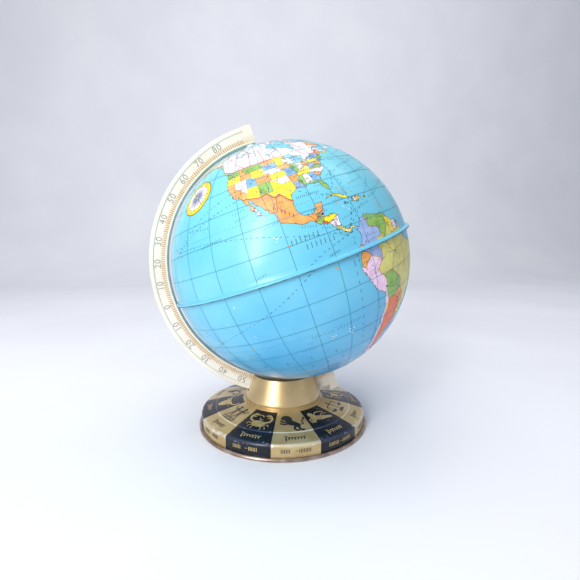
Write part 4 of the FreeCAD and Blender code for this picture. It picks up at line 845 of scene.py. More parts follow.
def rgb(code):
    """A colour from its web code, made linear."""
    parts = [int(code[i:i + 2], 16) / 255 for i in (0, 2, 4)]
    linear = [part / 12.92 if part <= 0.04045 else ((part + 0.055) / 1.055) ** 2.4 for part in parts]
    return (*linear, 1.0)


class Finish:
    """A node material under way."""

    def __init__(self, name, roughness=0.4, metallic=0.0, coat=0.0, specular=0.5):
        self.material = bpy.data.materials.new(name)
        self.material.use_nodes = True
        self.tree = self.material.node_tree
        self.shader = self.tree.nodes["Principled BSDF"]
        self.shader.inputs["Roughness"].default_value = roughness
        self.shader.inputs["Metallic"].default_value = metallic
        self.shader.inputs["Coat Weight"].default_value = coat
        self.shader.inputs["Coat Roughness"].default_value = 0.12
        self.shader.inputs["Specular IOR Level"].default_value = specular
        self.place = self.node("ShaderNodeTexCoord").outputs["Object"]

    def node(self, kind, **settings):
        """A node with its settings."""
        node = self.tree.nodes.new(kind)
        for name, value in settings.items():
            setattr(node, name, value)
        return node

    def feed(self, socket, value):
        """Joins a value or another node's output to an input."""
        if isinstance(value, bpy.types.NodeSocket):
            self.tree.links.new(value, socket)
        else:
            socket.default_value = value

    def noise(self, per_metre, detail=3.0, stretch=None):
        """Even noise, about 0.5, in the object's own space."""
        node = self.node("ShaderNodeTexNoise")
        node.inputs["Scale"].default_value = per_metre
        node.inputs["Detail"].default_value = detail
        place = self.place
        if stretch:
            mapping = self.node("ShaderNodeMapping")
            mapping.inputs["Scale"].default_value = stretch
            self.feed(mapping.inputs["Vector"], place)
            place = mapping.outputs["Vector"]
        self.feed(node.inputs["Vector"], place)
        return node.outputs["Fac"]

    def between(self, value, low, high, at_low=0.0, at_high=1.0):
        """Maps low..high to at_low..at_high, held at both ends."""
        node = self.node("ShaderNodeMapRange")
        for name, number in (("Value", value), ("From Min", low), ("From Max", high),
                             ("To Min", at_low), ("To Max", at_high)):
            self.feed(node.inputs[name], number)
        return node.outputs["Result"]

    def patches(self, per_metre, detail, low=0.3, high=0.7, at_low=0.0, at_high=1.0):
        """Noise spread between two values: soft patches, or small specks where low and high are close."""
        return self.between(self.noise(per_metre, detail), low, high, at_low, at_high)

    def maths(self, operation, *values):
        """A sum, product or the like."""
        node = self.node("ShaderNodeMath", operation=operation)
        for socket, value in zip(node.inputs, values):
            self.feed(socket, value)
        return node.outputs[0]

    def mix(self, share, first, second):
        """Two colours mixed."""
        node = self.node("ShaderNodeMix", data_type="RGBA")
        self.feed(node.inputs["Factor"], share)
        self.feed(node.inputs["A"], first)
        self.feed(node.inputs["B"], second)
        return node.outputs["Result"]

    def along(self, direction):
        """How far a point lies along a direction from the origin."""
        node = self.node("ShaderNodeVectorMath", operation="DOT_PRODUCT")
        self.feed(node.inputs[0], self.place)
        self.feed(node.inputs[1], direction)
        return node.outputs["Value"]

    def radius(self):
        """How far a point lies from the base's axis."""
        return self.maths(
            "SQRT", self.maths("ADD", self.maths("POWER", self.along((1, 0, 0)), 2.0),
                               self.maths("POWER", self.along((0, 1, 0)), 2.0)))

    def bump(self, height, depth):
        """Raises the surface by a height between 0 and 1, times a depth in metres."""
        node = self.node("ShaderNodeBump")
        node.inputs["Distance"].default_value = depth
        self.feed(node.inputs["Height"], height)
        self.feed(self.shader.inputs["Normal"], node.outputs["Normal"])

    def colour(self, value):
        self.feed(self.shader.inputs["Base Color"], value)
        return self

    def rough(self, value):
        self.feed(self.shader.inputs["Roughness"], value)
        return self


def mottled(name, light, dark, per_metre=260.0, **shader):
    """A print colour with the faint cloudiness of old ink."""
    finish = Finish(name, **shader)
    cloud = finish.patches(per_metre, 3.0, 0.35, 0.65)
    return finish.colour(finish.mix(cloud, rgb(dark), rgb(light))).material


def plain(name, code, roughness=0.45):
    """The ink of hairlines and small marks, one colour throughout."""
    return Finish(name, roughness=roughness).colour(rgb(code)).material


INKS = {
    "white": ("ebe5ea", "ddd6dd"), "yellow": ("fbe92c", "efd51c"), "orange": ("e8ab62", "dc9648"),
    "green": ("90bb5c", "7aa748"), "blue": ("7cb4e2", "62a0d4"), "violet": ("9db4e0", "8aa2d4"),
    "olive": ("d9d482", "cbc56c"), "pink": ("efd2ea", "e2c0de"), "redorange": ("ea7238", "da5e28"),
    "paleyellow": ("f6eba0", "ece08a"),
}
SPARE_INK = "yellow"
INK_NAMES = list(INKS)


def ocean_finish():
    """The sea's print: lighter and greener to the north and bluer to the south, partly its own tone and
    partly painted light from above; clouded, paler and hazy towards the bottom, with a few scuffs.
    """
    finish = Finish("ocean_print", roughness=0.36, coat=0.25)
    height = finish.between(
        finish.along(tuple(NORTH)), CENTRE.dot(NORTH) - GLOBE_RADIUS, CENTRE.dot(NORTH) + GLOBE_RADIUS)
    # Partly painted light: lighter and greener towards the north, where the light from above falls, bluer
    # towards the south.
    sea = finish.mix(height, rgb("3898d4"), rgb("74cedc"))
    cloud = finish.patches(38, 4.0, 0.3, 0.72, 0.0, 0.28)
    sea = finish.mix(cloud, sea, rgb("90dae6"))
    # Paler, hazy patches towards the bottom.
    paler_below = finish.between(height, 0.17, 0.06)
    haze = finish.maths("MULTIPLY", paler_below, finish.patches(45, 5.0, 0.4, 0.62, 0.05, 0.75))
    sea = finish.mix(haze, sea, rgb("b9d4e6"))
    speck = finish.patches(900, 2.0, 0.69, 0.74, 0.0, 0.5)
    sea = finish.mix(speck, sea, rgb("2f93c6"))
    scratch = finish.between(finish.noise(70, 6.0, (1.0, 9.0, 2.0)), 0.735, 0.76, 0.0, 0.7)
    sea = finish.mix(scratch, sea, rgb("eef6f8"))
    finish.rough(finish.patches(60, 4.0, at_low=0.3, at_high=0.44))
    return finish.colour(sea).material


# ---------------------------------------------------------------- the tin hemispheres

OCEAN = ocean_finish()
ARC_STEPS = 48                      # from the equator to a pole
ROUND_STEPS = 192


def arc(radius, low, high, steps):
    """A section's arc about the globe's centre, from one latitude to another, in degrees."""
    angles = [math.radians(low + (high - low) * i / steps) for i in range(steps + 1)]
    return [(radius * math.cos(a), radius * math.sin(a)) for a in angles]


def at_hole(radius):
    """The latitude of the pole hole's edge on a sphere of this radius."""
    return math.degrees(math.acos(POLE_HOLE / radius))


# The seam's two sections: distance from the polar axis and height above the equator, in millimetres.
LIP = [
    (76.4, 1.0), (76.75, 0.68), (77.3, 0.56), (77.95, 0.52), (78.14, 0.44), (78.2, 0.28), (78.2, -0.3),
    (78.2, -0.58), (78.12, -0.72), (77.95, -0.75), (77.74, -0.72), (77.7, -0.3), (77.55, 0.02),
    (76.6, 0.12), (75.9, 0.45),
]
FLANGE = [
    (75.7, -0.06), (77.5, -0.06), (77.62, -0.14), (77.62, -0.5), (77.5, -0.58), (76.6, -0.62),
    (76.26, -0.85),
]
SOUTH_TOP = -1.15                   # latitude where the southern sphere starts, below its flange
SHADE_TOP = -0.3 * MM               # painted shade under the lip, measured from the equator
SHADE_FOOT = -0.9 * MM


def make_hemispheres():
    """Both shells, with real thickness. The north one's lip folds over the south one's flange."""
    inside = GLOBE_RADIUS - TIN
    north = [(radius * MM, height * MM) for radius, height in reversed(LIP)]
    north += arc(GLOBE_RADIUS, NORTH_EDGE, at_hole(GLOBE_RADIUS), ARC_STEPS)
    north += arc(inside, at_hole(inside), NORTH_EDGE, ARC_STEPS)
    south = arc(inside, -at_hole(inside), -NORTH_EDGE, ARC_STEPS)
    south += [(radius * MM, height * MM) for radius, height in FLANGE]
    south += arc(GLOBE_RADIUS, SOUTH_TOP, -at_hole(GLOBE_RADIUS), ARC_STEPS)
    # Painted shade: a dark mottled material for the lip's outer wall and the faces just under it.
    grime_and_shade = mottled("seam_painted_shade", "4f8296", "1f3f50", 330, roughness=0.6)
    for name, section in (("north", north), ("south", south)):
        shell = lathe(name + "_shell", section, ROUND_STEPS, round_the_poles, [OCEAN, grime_and_shade], "map_print",
                      "globe", name + "_hemisphere", crease=34)
        # Faces outside the sphere and just below the equator take the painted shade.
        for face in shell.data.polygons:
            offset = face.center - CENTRE
            height = offset.dot(NORTH)
            out = (offset - NORTH * height).length
            if out > GLOBE_RADIUS and SHADE_FOOT < height < SHADE_TOP:
                face.material_index = 1


make_hemispheres()

# ---------------------------------------------------------------- the land


def map_outline(words, step, wiggle):
    """An outline of the map, and its copy from beyond the date line."""
    outline = divided(numbers(words), step, wiggle)
    if max(lon for lon, lat in outline) > 180:
        return [outline, [(lon - 360, lat) for lon, lat in outline]]
    return [outline]


def map_layers():
    """Every outline of the map, and what each stands for: (kind, number)."""
    outlines = []
    meanings = []
    for kind, low, high in (("north", NORTH_EDGE, POLE_EDGE), ("south", -POLE_EDGE, SOUTH_EDGE)):
        corners = [(-180, low), (180, low), (180, high), (-180, high)]
        outlines.append(divided(corners, FINE, flat=True))
        meanings.append((kind, 0))
    regions = FAR_NORTH + STATES + COUNTRIES
    layers = [("land", words, COAST_STEP, COAST_WIGGLE) for words in LAND.values()]
    layers += [("lake", words, COAST_STEP, COAST_WIGGLE) for words in LAKES.values()]
    layers += [("region", words, BORDER_STEP, BORDER_WIGGLE) for _, words in regions]
    numbers_used = {"land": 0, "lake": 0, "region": 0}
    for kind, words, step, wiggle in layers:
        for outline in map_outline(words, step, wiggle):
            outlines.append(outline)
            meanings.append((kind, numbers_used[kind]))
        numbers_used[kind] += 1
    return outlines, meanings, regions


def map_dots():
    """A grid that keeps the land's mesh on the sphere, thinner towards the poles."""
    dots = []
    lat = -90 + FINE
    while lat < 90:
        count = max(12, round(360 * math.cos(math.radians(lat)) / FINE))
        dots += [(-180 + 360 * (i + 0.5) / count, lat + 0.01) for i in range(count)]
        lat += FINE
    return dots


SEA = -2
BARE_LAND = -1


def make_map():
    """Fills the land with its colours and finds the coasts and borders between them."""
    outlines, meanings, regions = map_layers()
    points, triangles, owners = triangulated(outlines, map_dots())
    areas = []
    shown = {half: [] for half in HALVES}
    for triangle, inside in zip(triangles, owners):
        held = [meanings[i] for i in inside]
        kinds = {kind for kind, number in held}
        area = SEA
        if "land" in kinds and "lake" not in kinds:
            area = max([number for kind, number in held if kind == "region"], default=BARE_LAND)
        areas.append(area)
        for half in HALVES:
            if half in kinds and area != SEA:
                shown[half].append(len(areas) - 1)

    materials = [mottled("ink_" + name, light, dark, roughness=0.38, coat=0.2)
                 for name, (light, dark) in INKS.items()]
    for half in HALVES:
        drawing = Drawing()
        used = sorted({i for number in shown[half] for i in triangles[number]})
        place_of = {old: new for new, old in enumerate(used)}
        drawing.add(*map_points([tuple(points[i]) for i in used], INK, half), [])
        for number in shown[half]:
            ink = regions[areas[number]][0] if areas[number] >= 0 else SPARE_INK
            drawing.faces.append(tuple(place_of[i] for i in triangles[number]))
            drawing.colours.append(INK_NAMES.index(ink))
        drawing.made(half + "_land_print", materials, "globe", "map_print")

    sides = {}
    for number, triangle in enumerate(triangles):
        if {"north", "south"} & {meanings[i][0] for i in owners[number]}:
            for a, b in zip(triangle, (*triangle[1:], triangle[0])):
                sides.setdefault(tuple(sorted((a, b))), []).append(areas[number])
    first_state = len(FAR_NORTH)
    after_states = first_state + len(STATES)
    lines = {"coast": [], "state": [], "country": [], "united": []}
    for edge, met in sides.items():
        if len(met) != 2 or met[0] == met[1]:
            continue
        at_home = [first_state <= area < after_states for area in met]
        if SEA in met:
            lines["coast"].append(edge)
        elif all(at_home) or BARE_LAND in met:
            lines["state"].append(edge)
        else:
            lines["united" if any(at_home) else "country"].append(edge)
    return {kind: [[tuple(points[i]) for i in chain] for chain in chains(edges)]
            for kind, edges in lines.items()}


map_lines = make_map()

# ---------------------------------------------------------------- lines, dots and marks of the map


def new_drawings():
    return {half: Drawing() for half in HALVES}


def finish_drawings(drawings, name, materials):
    """Both halves' pieces of one kind of print."""
    for half in HALVES:
        drawings[half].made(half + "_" + name, materials, "globe", "map_print")


BORDER_INKS = {
    "coast": "4a4444", "border": "a8283c", "frontier": "c01e34", "province": "b83c62", "river": "3e4a4c",
}
# Each kind of line in the finished map: its width in millimetres, its ink and its height.
BORDER_LINES = {
    "coast": (0.2, "coast", LINE), "state": (0.15, "coast", LINE), "country": (0.32, "border", MARK),
    "united": (0.55, "frontier", MARK),
}
PROVINCE_WIDTH = 0.3 * MM
RIVER_WIDTH = 0.16 * MM
RIVER_WIGGLE = 0.3


def make_borders():
    """Coasts, borders, provinces and rivers."""
    drawings = new_drawings()
    materials = [plain("ink_" + name, code) for name, code in BORDER_INKS.items()]
    colour_of = {name: number for number, name in enumerate(BORDER_INKS)}
    for kind, (width, ink, lift) in BORDER_LINES.items():
        for line in map_lines[kind]:
            map_line(drawings, line, width * MM, lift, colour_of[ink])
    for words in PROVINCES:
        line = divided(numbers(words), BORDER_STEP, BORDER_WIGGLE, closed=False)
        map_line(drawings, line, PROVINCE_WIDTH, LINE, colour_of["province"])
    for words in RIVERS:
        line = divided(numbers(words), COAST_STEP, RIVER_WIGGLE, closed=False)
        map_line(drawings, line, RIVER_WIDTH, LINE, colour_of["river"])
    finish_drawings(drawings, "borders", materials)


HAIRLINE = 0.26 * MM
ROUTE_WIDTH = 0.3 * MM
MERIDIAN_TURN = 15
PARALLEL_TURN = 10
LAST_PARALLEL = 80
LAST_RUNG = 88                      # where the four main meridians end
DASHED_END = -62


def make_graticule():
    """Meridians, parallels, the four dotted circles, the sea routes and two dashed meridians."""
    drawings = new_drawings()
    materials = [plain("ink_graticule", "2f7f9e"), plain("ink_routes", "2c5568")]
    for lon in range(-180, 180, MERIDIAN_TURN):
        reach = LAST_RUNG if lon % 90 == 0 else LAST_PARALLEL
        rungs = sorted([*range(-reach, reach + 1, 2), NORTH_EDGE + 0.01, SOUTH_EDGE - 0.01])
        map_line(drawings, [(lon, lat) for lat in rungs], HAIRLINE, MARK)
    for lat in range(-LAST_PARALLEL, LAST_PARALLEL + 1, PARALLEL_TURN):
        if lat:
            map_line(drawings, [(-180 + FINE * i, lat) for i in range(145)], HAIRLINE, MARK)
    for lat in CIRCLES.split():
        for dash in dashed([(-180, float(lat)), (180, float(lat))], 0.7, 0.9):
            map_line(drawings, dash, HAIRLINE, MARK, 1)
    for words in ROUTES:
        for dash in dashed(smooth(numbers(words), 8), 1.4, 0.8):
            map_line(drawings, dash, ROUTE_WIDTH, MARK, 1)
    for lon in DASHED_MERIDIANS.split():
        for dash in dashed([(float(lon), 0), (float(lon), DASHED_END)], 2.4, 1.4):
            map_line(drawings, dash, HAIRLINE, MARK, 1)
    finish_drawings(drawings, "graticule", materials)


def make_marks():
    """Towns, islets, worn chips, and rows of plain marks where a map has its captions."""
    drawings = new_drawings()
    materials = [plain("ink_marks", "26313c"), plain("ink_islets", "e0863c"),
                 plain("bare_chips", "f2f4f4", 0.5)]
    draw = random.Random(19)

    def dot(place, radius, colour, lift=MARK):
        half = "north" if place[1] > 0 else "south"
        if in_half(place[1], half):
            (point,), (normal,) = map_points([place], lift, half)
            drawings[half].disc(point, normal, radius, colour)

    for line in map_lines["coast"]:
        for i in range(draw.randrange(4, 9), len(line) - 2, 8):
            if draw.random() < 0.7 and -56 < line[i][1] < 62:
                dot(line[i], draw.uniform(0.24, 0.4) * MM, 0)
    for _, words in FAR_NORTH[:1] + STATES[1:] + COUNTRIES:
        corners = numbers(words)
        middle = [sum(p[k] for p in corners) / len(corners) for k in (0, 1)]
        reach = min(max(p[0] for p in corners) - middle[0], 7)
        for _ in range(3 if reach < 3 else 6):
            place = (middle[0] + draw.uniform(-0.7, 0.7) * reach, middle[1] + draw.uniform(-0.5, 0.5) * reach)
            dot(place, draw.uniform(0.16, 0.34) * MM, 0)
        for row in range(1 if reach < 1.8 else 2):
            lat = middle[1] + draw.uniform(0.2, 0.5) * (1 - 2 * row) * min(reach, 2.4)
            for i in range(draw.randrange(3, 5) if reach < 4 else draw.randrange(5, 8)):
                lon = middle[0] + (i - 2.5) * min(0.24 * reach, 1.0)
                map_line(drawings, [(lon, lat - 0.35), (lon + 0.1, lat + 0.35)], 0.2 * MM, MARK, 0)
    for _ in range(230):
        place = (draw.uniform(-136, -66), draw.uniform(50, 70))
        map_line(drawings, [place, (place[0] + draw.uniform(0.5, 1.4), place[1] + draw.uniform(-0.6, 0.6))],
                 0.16 * MM, MARK, 0)
    for first, last, count, tall in CAPTIONS:
        (start,), (end,) = numbers(first), numbers(last)
        for i in range(count):
            t = i / (count - 1)
            lon, lat = (start[k] + (end[k] - start[k]) * t for k in (0, 1))
            wide = 0.26 if tall > 1.4 else 0.19
            map_line(drawings, [(lon, lat), (lon + 0.15, lat + tall)], wide * MM, MARK, 0)
    for place in numbers(ISLETS):
        dot(place, 0.42 * MM, 1)
    for place in numbers(CHIPS):
        for _ in range(4):
            near = (place[0] + draw.gauss(0, 0.7), place[1] + draw.gauss(0, 0.5))
            dot(near, draw.uniform(0.12, 0.36) * MM, 2, MARK + 0.02 * MM)
    finish_drawings(drawings, "marks", materials)


ROSE_PLACE = (-147.2, 43.7)
ROSE_SIZE = 1.05                    # against the radii below, which are degrees of the globe
ROSE_DISC = 5.55
ROSE_RIM = 7.35
ROSE_POINTS = 32


def make_compass_rose():
    """A yellow ring round a white disc with a many-pointed star."""
    middle = ray(*ROSE_PLACE)
    to_north = (NORTH - middle * NORTH.dot(middle)).normalized()
    to_east = to_north.cross(middle)
    drawing = Drawing()

    def spot(bearing, reach, lift):
        """A place this many degrees from the middle."""
        turn = math.radians(bearing)
        away = math.cos(turn) * to_north + math.sin(turn) * to_east
        reach = math.radians(reach * ROSE_SIZE)
        normal = math.cos(reach) * middle + math.sin(reach) * away
        return CENTRE + normal * (GLOBE_RADIUS + lift), normal

    def band(inner, outer, lift, colour, rings=2, steps=96):
        """A flat ring, or a disc where inner is 0."""
        spots = [spot(-360 * i / steps, inner + (outer - inner) * j / rings, lift)
                 for i in range(steps) for j in range(rings + 1)]
        faces = []
        for i in range(steps):
            for j in range(rings):
                a = i * (rings + 1) + j
                b = (i + 1) % steps * (rings + 1) + j
                faces.append((a, a + 1, b + 1, b))
        drawing.add(*apart(spots), faces, colour)

    def spoke(bearing, inner, outer, widths, lift, colour):
        """A straight mark from the middle outwards."""
        count = len(widths)
        spots = [spot(bearing, inner + (outer - inner) * i / (count - 1), lift) for i in range(count)]
        drawing.ribbon(*apart(spots), [width * MM for width in widths], colour)

    band(0.05, ROSE_DISC, LINE, 1, rings=4)
    band(ROSE_DISC, ROSE_RIM, LINE, 0)
    band(7.3, 7.75, MARK, 2, rings=1)
    band(5.42, 5.64, MARK, 2, rings=1)
    for i in range(ROSE_POINTS):
        spoke(360 * i / ROSE_POINTS, 6.2 if i % 4 else 5.8, 6.9, [0.45, 0.45], MARK, 2)
    for i in range(1, ROSE_POINTS, 2):
        spoke(360 * i / ROSE_POINTS, 1.0, 5.2, [0.4, 0.46, 0.36, 0.2], LINE + 0.01 * MM, 4)
    for i in range(0, ROSE_POINTS, 2):
        is_main = i % 4 == 0
        spoke(360 * i / ROSE_POINTS, 0.3, 5.5 if is_main else 5.0, [0.5, 0.75, 0.6, 0.3],
              MARK + 0.01 * MM, 5 if is_main else 3)
    band(0.02, 0.7, MARK + 0.03 * MM, 2, rings=1)
    band(0.02, 0.42, MARK + 0.04 * MM, 0, rings=1)
    materials = [plain("rose_yellow", "f6d925"), plain("rose_white", "f2eff0"), plain("rose_olive", "7a6a1e"),
                 plain("rose_blue", "6f9cc0"), plain("rose_purple", "b47c94"), plain("rose_grey", "5b6c84")]
    drawing.made("compass_rose", materials, "globe", "map_print")


make_borders()
make_graticule()
make_marks()
make_compass_rose()

# ---------------------------------------------------------------- the arm's scale


def on_arm(angle, radius, side):
    """A place on the arm's web: degrees from its middle towards the north, side -1 in front, +1 behind."""
    turn = math.radians(angle)
    return CENTRE + radius * (math.sin(turn) * NORTH - math.cos(turn) * AWAY) + side * ARM_FACE * SIDE


LAST_TICK = 92
TICK_LENGTHS = {10: 2.8 * MM, 5: 2.6 * MM, 1: 2.3 * MM}
TICK_HEIGHT = 0.12 * MM
TICK_HALF_WIDTH = 0.19 * MM
TICK_TAPER = 0.04                   # how much smaller each tick's top is than its foot


def make_arm_scale():
    """Raised degree marks, longer at each fifth and tenth."""
    drawing = Drawing()
    for side in (-1, 1):
        for degree in range(-LAST_TICK, LAST_TICK + 1):
            reach = next(length for step, length in TICK_LENGTHS.items() if degree % step == 0)
            inner = on_arm(degree * DEGREE_TURN, ARM_TICKS, side)
            outer = on_arm(degree * DEGREE_TURN, ARM_TICKS + reach, side)
            across = (outer - inner).normalized().cross(SIDE) * TICK_HALF_WIDTH
            out = side * TICK_HEIGHT * SIDE
            ring = [inner - across, inner + across, outer + across, outer - across]
            points = ring + [p + out - (p - (inner + outer) / 2) * TICK_TAPER for p in ring]
            faces = [(4, 5, 6, 7), (0, 1, 5, 4), (1, 2, 6, 5), (2, 3, 7, 6), (3, 0, 4, 7)]
            drawing.add(points, [out.normalized()] * 8, faces if side < 0 else [f[::-1] for f in faces])
    drawing.made("degree_marks", [mottled("scale_tan", "b98c54", "9c7240", 500, roughness=0.5)],
                 "stand", "ivory_plastic", faceted=True)


NUMERAL_SIZE = 5.4 * MM
NUMERAL_SPACING = 1.15
NUMERAL_HEIGHT = 0.1 * MM
NUMERAL_BEVEL = 0.03 * MM
LAST_NUMERAL = 80


def make_arm_numerals():
    """The degrees as small raised numerals, read from the free side."""
    letters = bpy.data.curves.new("numeral", "FONT")
    letters.size = NUMERAL_SIZE
    letters.extrude = NUMERAL_HEIGHT
    letters.bevel_depth = NUMERAL_BEVEL
    letters.space_character = NUMERAL_SPACING
    letters.align_x = "CENTER"
    letters.resolution_u = 4
    holder = bpy.data.objects.new("numeral", letters)
    bpy.context.scene.collection.objects.link(holder)
    drawing = Drawing()
    for degrees in range(-LAST_NUMERAL, LAST_NUMERAL + 1, 10):
        letters.body = str(abs(degrees))
        bpy.context.view_layer.update()
        flat = bpy.data.meshes.new_from_object(holder.evaluated_get(bpy.context.evaluated_depsgraph_get()))
        for side in (-1, 1):
            turn = math.radians(degrees * DEGREE_TURN)
            along = math.cos(turn) * NORTH + math.sin(turn) * AWAY
            up = math.sin(turn) * NORTH - math.cos(turn) * AWAY
            frame_of = Matrix((-side * along, up, side * SIDE)).transposed()
            foot = on_arm(degrees * DEGREE_TURN, ARM_NUMERALS, side)
            drawing.add([foot + frame_of @ v.co for v in flat.vertices], [side * SIDE] * len(flat.vertices),
                        [tuple(face.vertices) for face in flat.polygons])
        bpy.data.meshes.remove(flat)
    bpy.data.objects.remove(holder)
    drawing.made("degree_numerals", [mottled("numeral_grey", "aaa59d", "938e87", 500, roughness=0.5)],
                 "stand", "ivory_plastic", faceted=True)


make_arm_scale()
make_arm_numerals()

# ---------------------------------------------------------------- the base


def rounded_corner(before, corner, after, radius, steps=8):
    """Points of an arc that rounds a corner between two straight runs."""
    inward = (Vector(before) - Vector(corner)).normalized()
    onward = (Vector(after) - Vector(corner)).normalized()
    half_angle = inward.angle(onward) / 2
    middle = Vector(corner) + (inward + onward).normalized() * radius / math.sin(half_angle)
    start = Vector(corner) + inward * radius / math.tan(half_angle) - middle
    end = Vector(corner) + onward * radius / math.tan(half_angle) - middle
    turn = start.angle_signed(end)
    angles = [-turn * i / steps for i in range(steps + 1)]
    return [tuple(middle + Matrix.Rotation(a, 2) @ start) for a in angles]


FLAT_EDGE = (27.4 * MM, FLAT_Z)
RING_END = (CREASE_RADIUS - 0.7 * MM, CREASE_Z + 0.4 * MM)
CREASE = (CREASE_RADIUS, CREASE_Z)
RIDGE = (RIDGE_RADIUS, RIDGE_Z)
BAND_FOOT = (RIDGE_RADIUS, HEM_Z + 0.9 * MM)
FACE = [FLAT_EDGE, RING_END, CREASE, *rounded_corner(CREASE, RIDGE, BAND_FOOT, RIDGE_ROUND), BAND_FOOT]
SIGN_SIZE = 1.18                    # of the pictures, against the sizes in SIGNS
RING_MIDDLE = 10.2 * MM             # distances along that face, from the flat's edge outwards
CREASE_ALONG = math.dist(FLAT_EDGE, RING_END) + math.dist(RING_END, CREASE)
NAME_MIDDLE = CREASE_ALONG + 4.2 * MM
FACE_LENGTH = sum(math.dist(a, b) for a, b in zip(FACE, FACE[1:]))
DATE_MIDDLE = FACE_LENGTH - 3.9 * MM


def on_base(azimuth, along, lift):
    """A row-frame point and normal on the base's printed face."""
    for a, b in zip(FACE, FACE[1:]):
        run = math.dist(a, b)
        if along <= run or b == FACE[-1]:
            break
        along -= run
    share = along / run
    out = Vector((math.cos(math.radians(azimuth)), math.sin(math.radians(azimuth)), 0))
    up = Vector((0, 0, 1))
    normal = (out * (a[1] - b[1]) + up * (b[0] - a[0])).normalized()
    point = out * (a[0] + (b[0] - a[0]) * share) + up * (a[1] + (b[1] - a[1]) * share)
    return point + normal * lift, normal


def panel_azimuth(panel):
    """The middle of a panel, in degrees from +X."""
    return FIRST_PANEL + PANEL_TURN * (panel + 0.5)


def on_panel(panel, along, x, y, lift):
    """A place on a panel, x to the right and y towards the axis of the base from a point of its middle."""
    radius = on_base(0, along - y, 0)[0].x
    return on_base(panel_azimuth(panel) + math.degrees(x / radius), along - y, lift)


def worn_edge(finish, colour, bare, amount):
    """Rubs the print off along the base's ridge."""
    height = finish.along((0, 0, 1))
    near = finish.maths(
        "MULTIPLY", finish.between(height, RIDGE_Z - 1.9 * MM, RIDGE_Z - 0.7 * MM),
        finish.between(height, RIDGE_Z + 0.9 * MM, RIDGE_Z - 0.1 * MM))
    far_out = finish.between(finish.radius(), RIDGE_RADIUS - 3.2 * MM, RIDGE_RADIUS - 1.6 * MM)
    rubbed = finish.maths("MULTIPLY", near, far_out)
    patchy = finish.patches(230, 5.0, 0.66 - amount, 0.7 - amount)
    specks = finish.patches(520, 3.0, 0.7, 0.73)
    mask = finish.maths("MULTIPLY", rubbed, patchy)
    return finish.mix(finish.maths("MAXIMUM", mask, finish.maths("MULTIPLY", specks, 0.45)), colour, bare)


def rubbed_fold(finish, colour, bright, amount):
    """Painted highlight: lightens the print on the fold between its two rings and along the ridge's round,
    where they catch the light.
    """
    out = finish.radius()
    fold = finish.maths(
        "MULTIPLY", finish.between(out, RING_END[0] - 0.15 * MM, RING_END[0] + 0.1 * MM),
        finish.between(out, CREASE_RADIUS + 0.1 * MM, CREASE_RADIUS - 0.15 * MM))
    height = finish.along((0, 0, 1))
    ridge = finish.maths(
        "MULTIPLY", finish.between(out, RIDGE_RADIUS - 1.5 * MM, RIDGE_RADIUS - 0.8 * MM),
        finish.between(height, RIDGE_Z - 1.5 * MM, RIDGE_Z - 0.7 * MM))
    uneven = finish.patches(60, 3.0, 0.3, 0.6, 0.45, 1.0)
    both = finish.maths("MAXIMUM", fold, finish.maths("MULTIPLY", ridge, 0.6))
    both = finish.maths("MULTIPLY", both, uneven)
    return finish.mix(finish.maths("MULTIPLY", both, amount), colour, bright)


def gold_print():
    """Brass-coloured lithograph, clouded, rubbed along the ridge, with a painted highlight on the fold and
    the ridge's round.
    """
    finish = Finish("base_gold", roughness=0.34, metallic=0.55, coat=0.3)
    cloud = finish.patches(90, 4.0)
    colour = finish.mix(cloud, rgb("b39a66"), rgb("cdb787"))
    # Painted highlight, pale cream, on the fold and along the ridge's round.
    colour = rubbed_fold(finish, colour, rgb("f4ecd2"), 0.85)
    finish.rough(finish.patches(140, 4.0, at_low=0.28, at_high=0.42))
    finish.bump(finish.noise(420, 2.0), 0.03 * MM)
    return finish.colour(worn_edge(finish, colour, rgb("e9e4da"), 0.07)).material


def black_print():
    """Deep navy-black lithograph under the same lacquer."""
    finish = Finish("base_black", roughness=0.26, coat=0.12, specular=0.32)
    cloud = finish.patches(110, 4.0)
    colour = finish.mix(cloud, rgb("0b0d13"), rgb("151924"))
    # Painted highlight, a lighter blue, on the fold and along the ridge's round.
    colour = rubbed_fold(finish, colour, rgb("4c5574"), 0.7)
    finish.rough(finish.patches(140, 4.0, at_low=0.2, at_high=0.34))
    finish.bump(finish.noise(420, 2.0), 0.03 * MM)
    return finish.colour(worn_edge(finish, colour, rgb("b9c2d2"), 0.05)).material


def bare_tin():
    """The hem, where the coating has worn to pinkish bare metal."""
    finish = Finish("hem_tin", roughness=0.32, metallic=0.85)
    cloud = finish.patches(160, 5.0, 0.35, 0.65)
    finish.rough(finish.patches(200, 3.0, at_low=0.26, at_high=0.46))
    return finish.colour(finish.mix(cloud, rgb("8f7a6e"), rgb("b8a79c"))).material


BASE_GOLD = gold_print()
BASE_BLACK = black_print()
HEM_ROLL = 1.1 * MM
HEM_MIDDLE = 55.55 * MM
HEM_START = 122                     # degrees round the roll, from straight out
HEM_TURN = 300
HEM_STEPS = 36


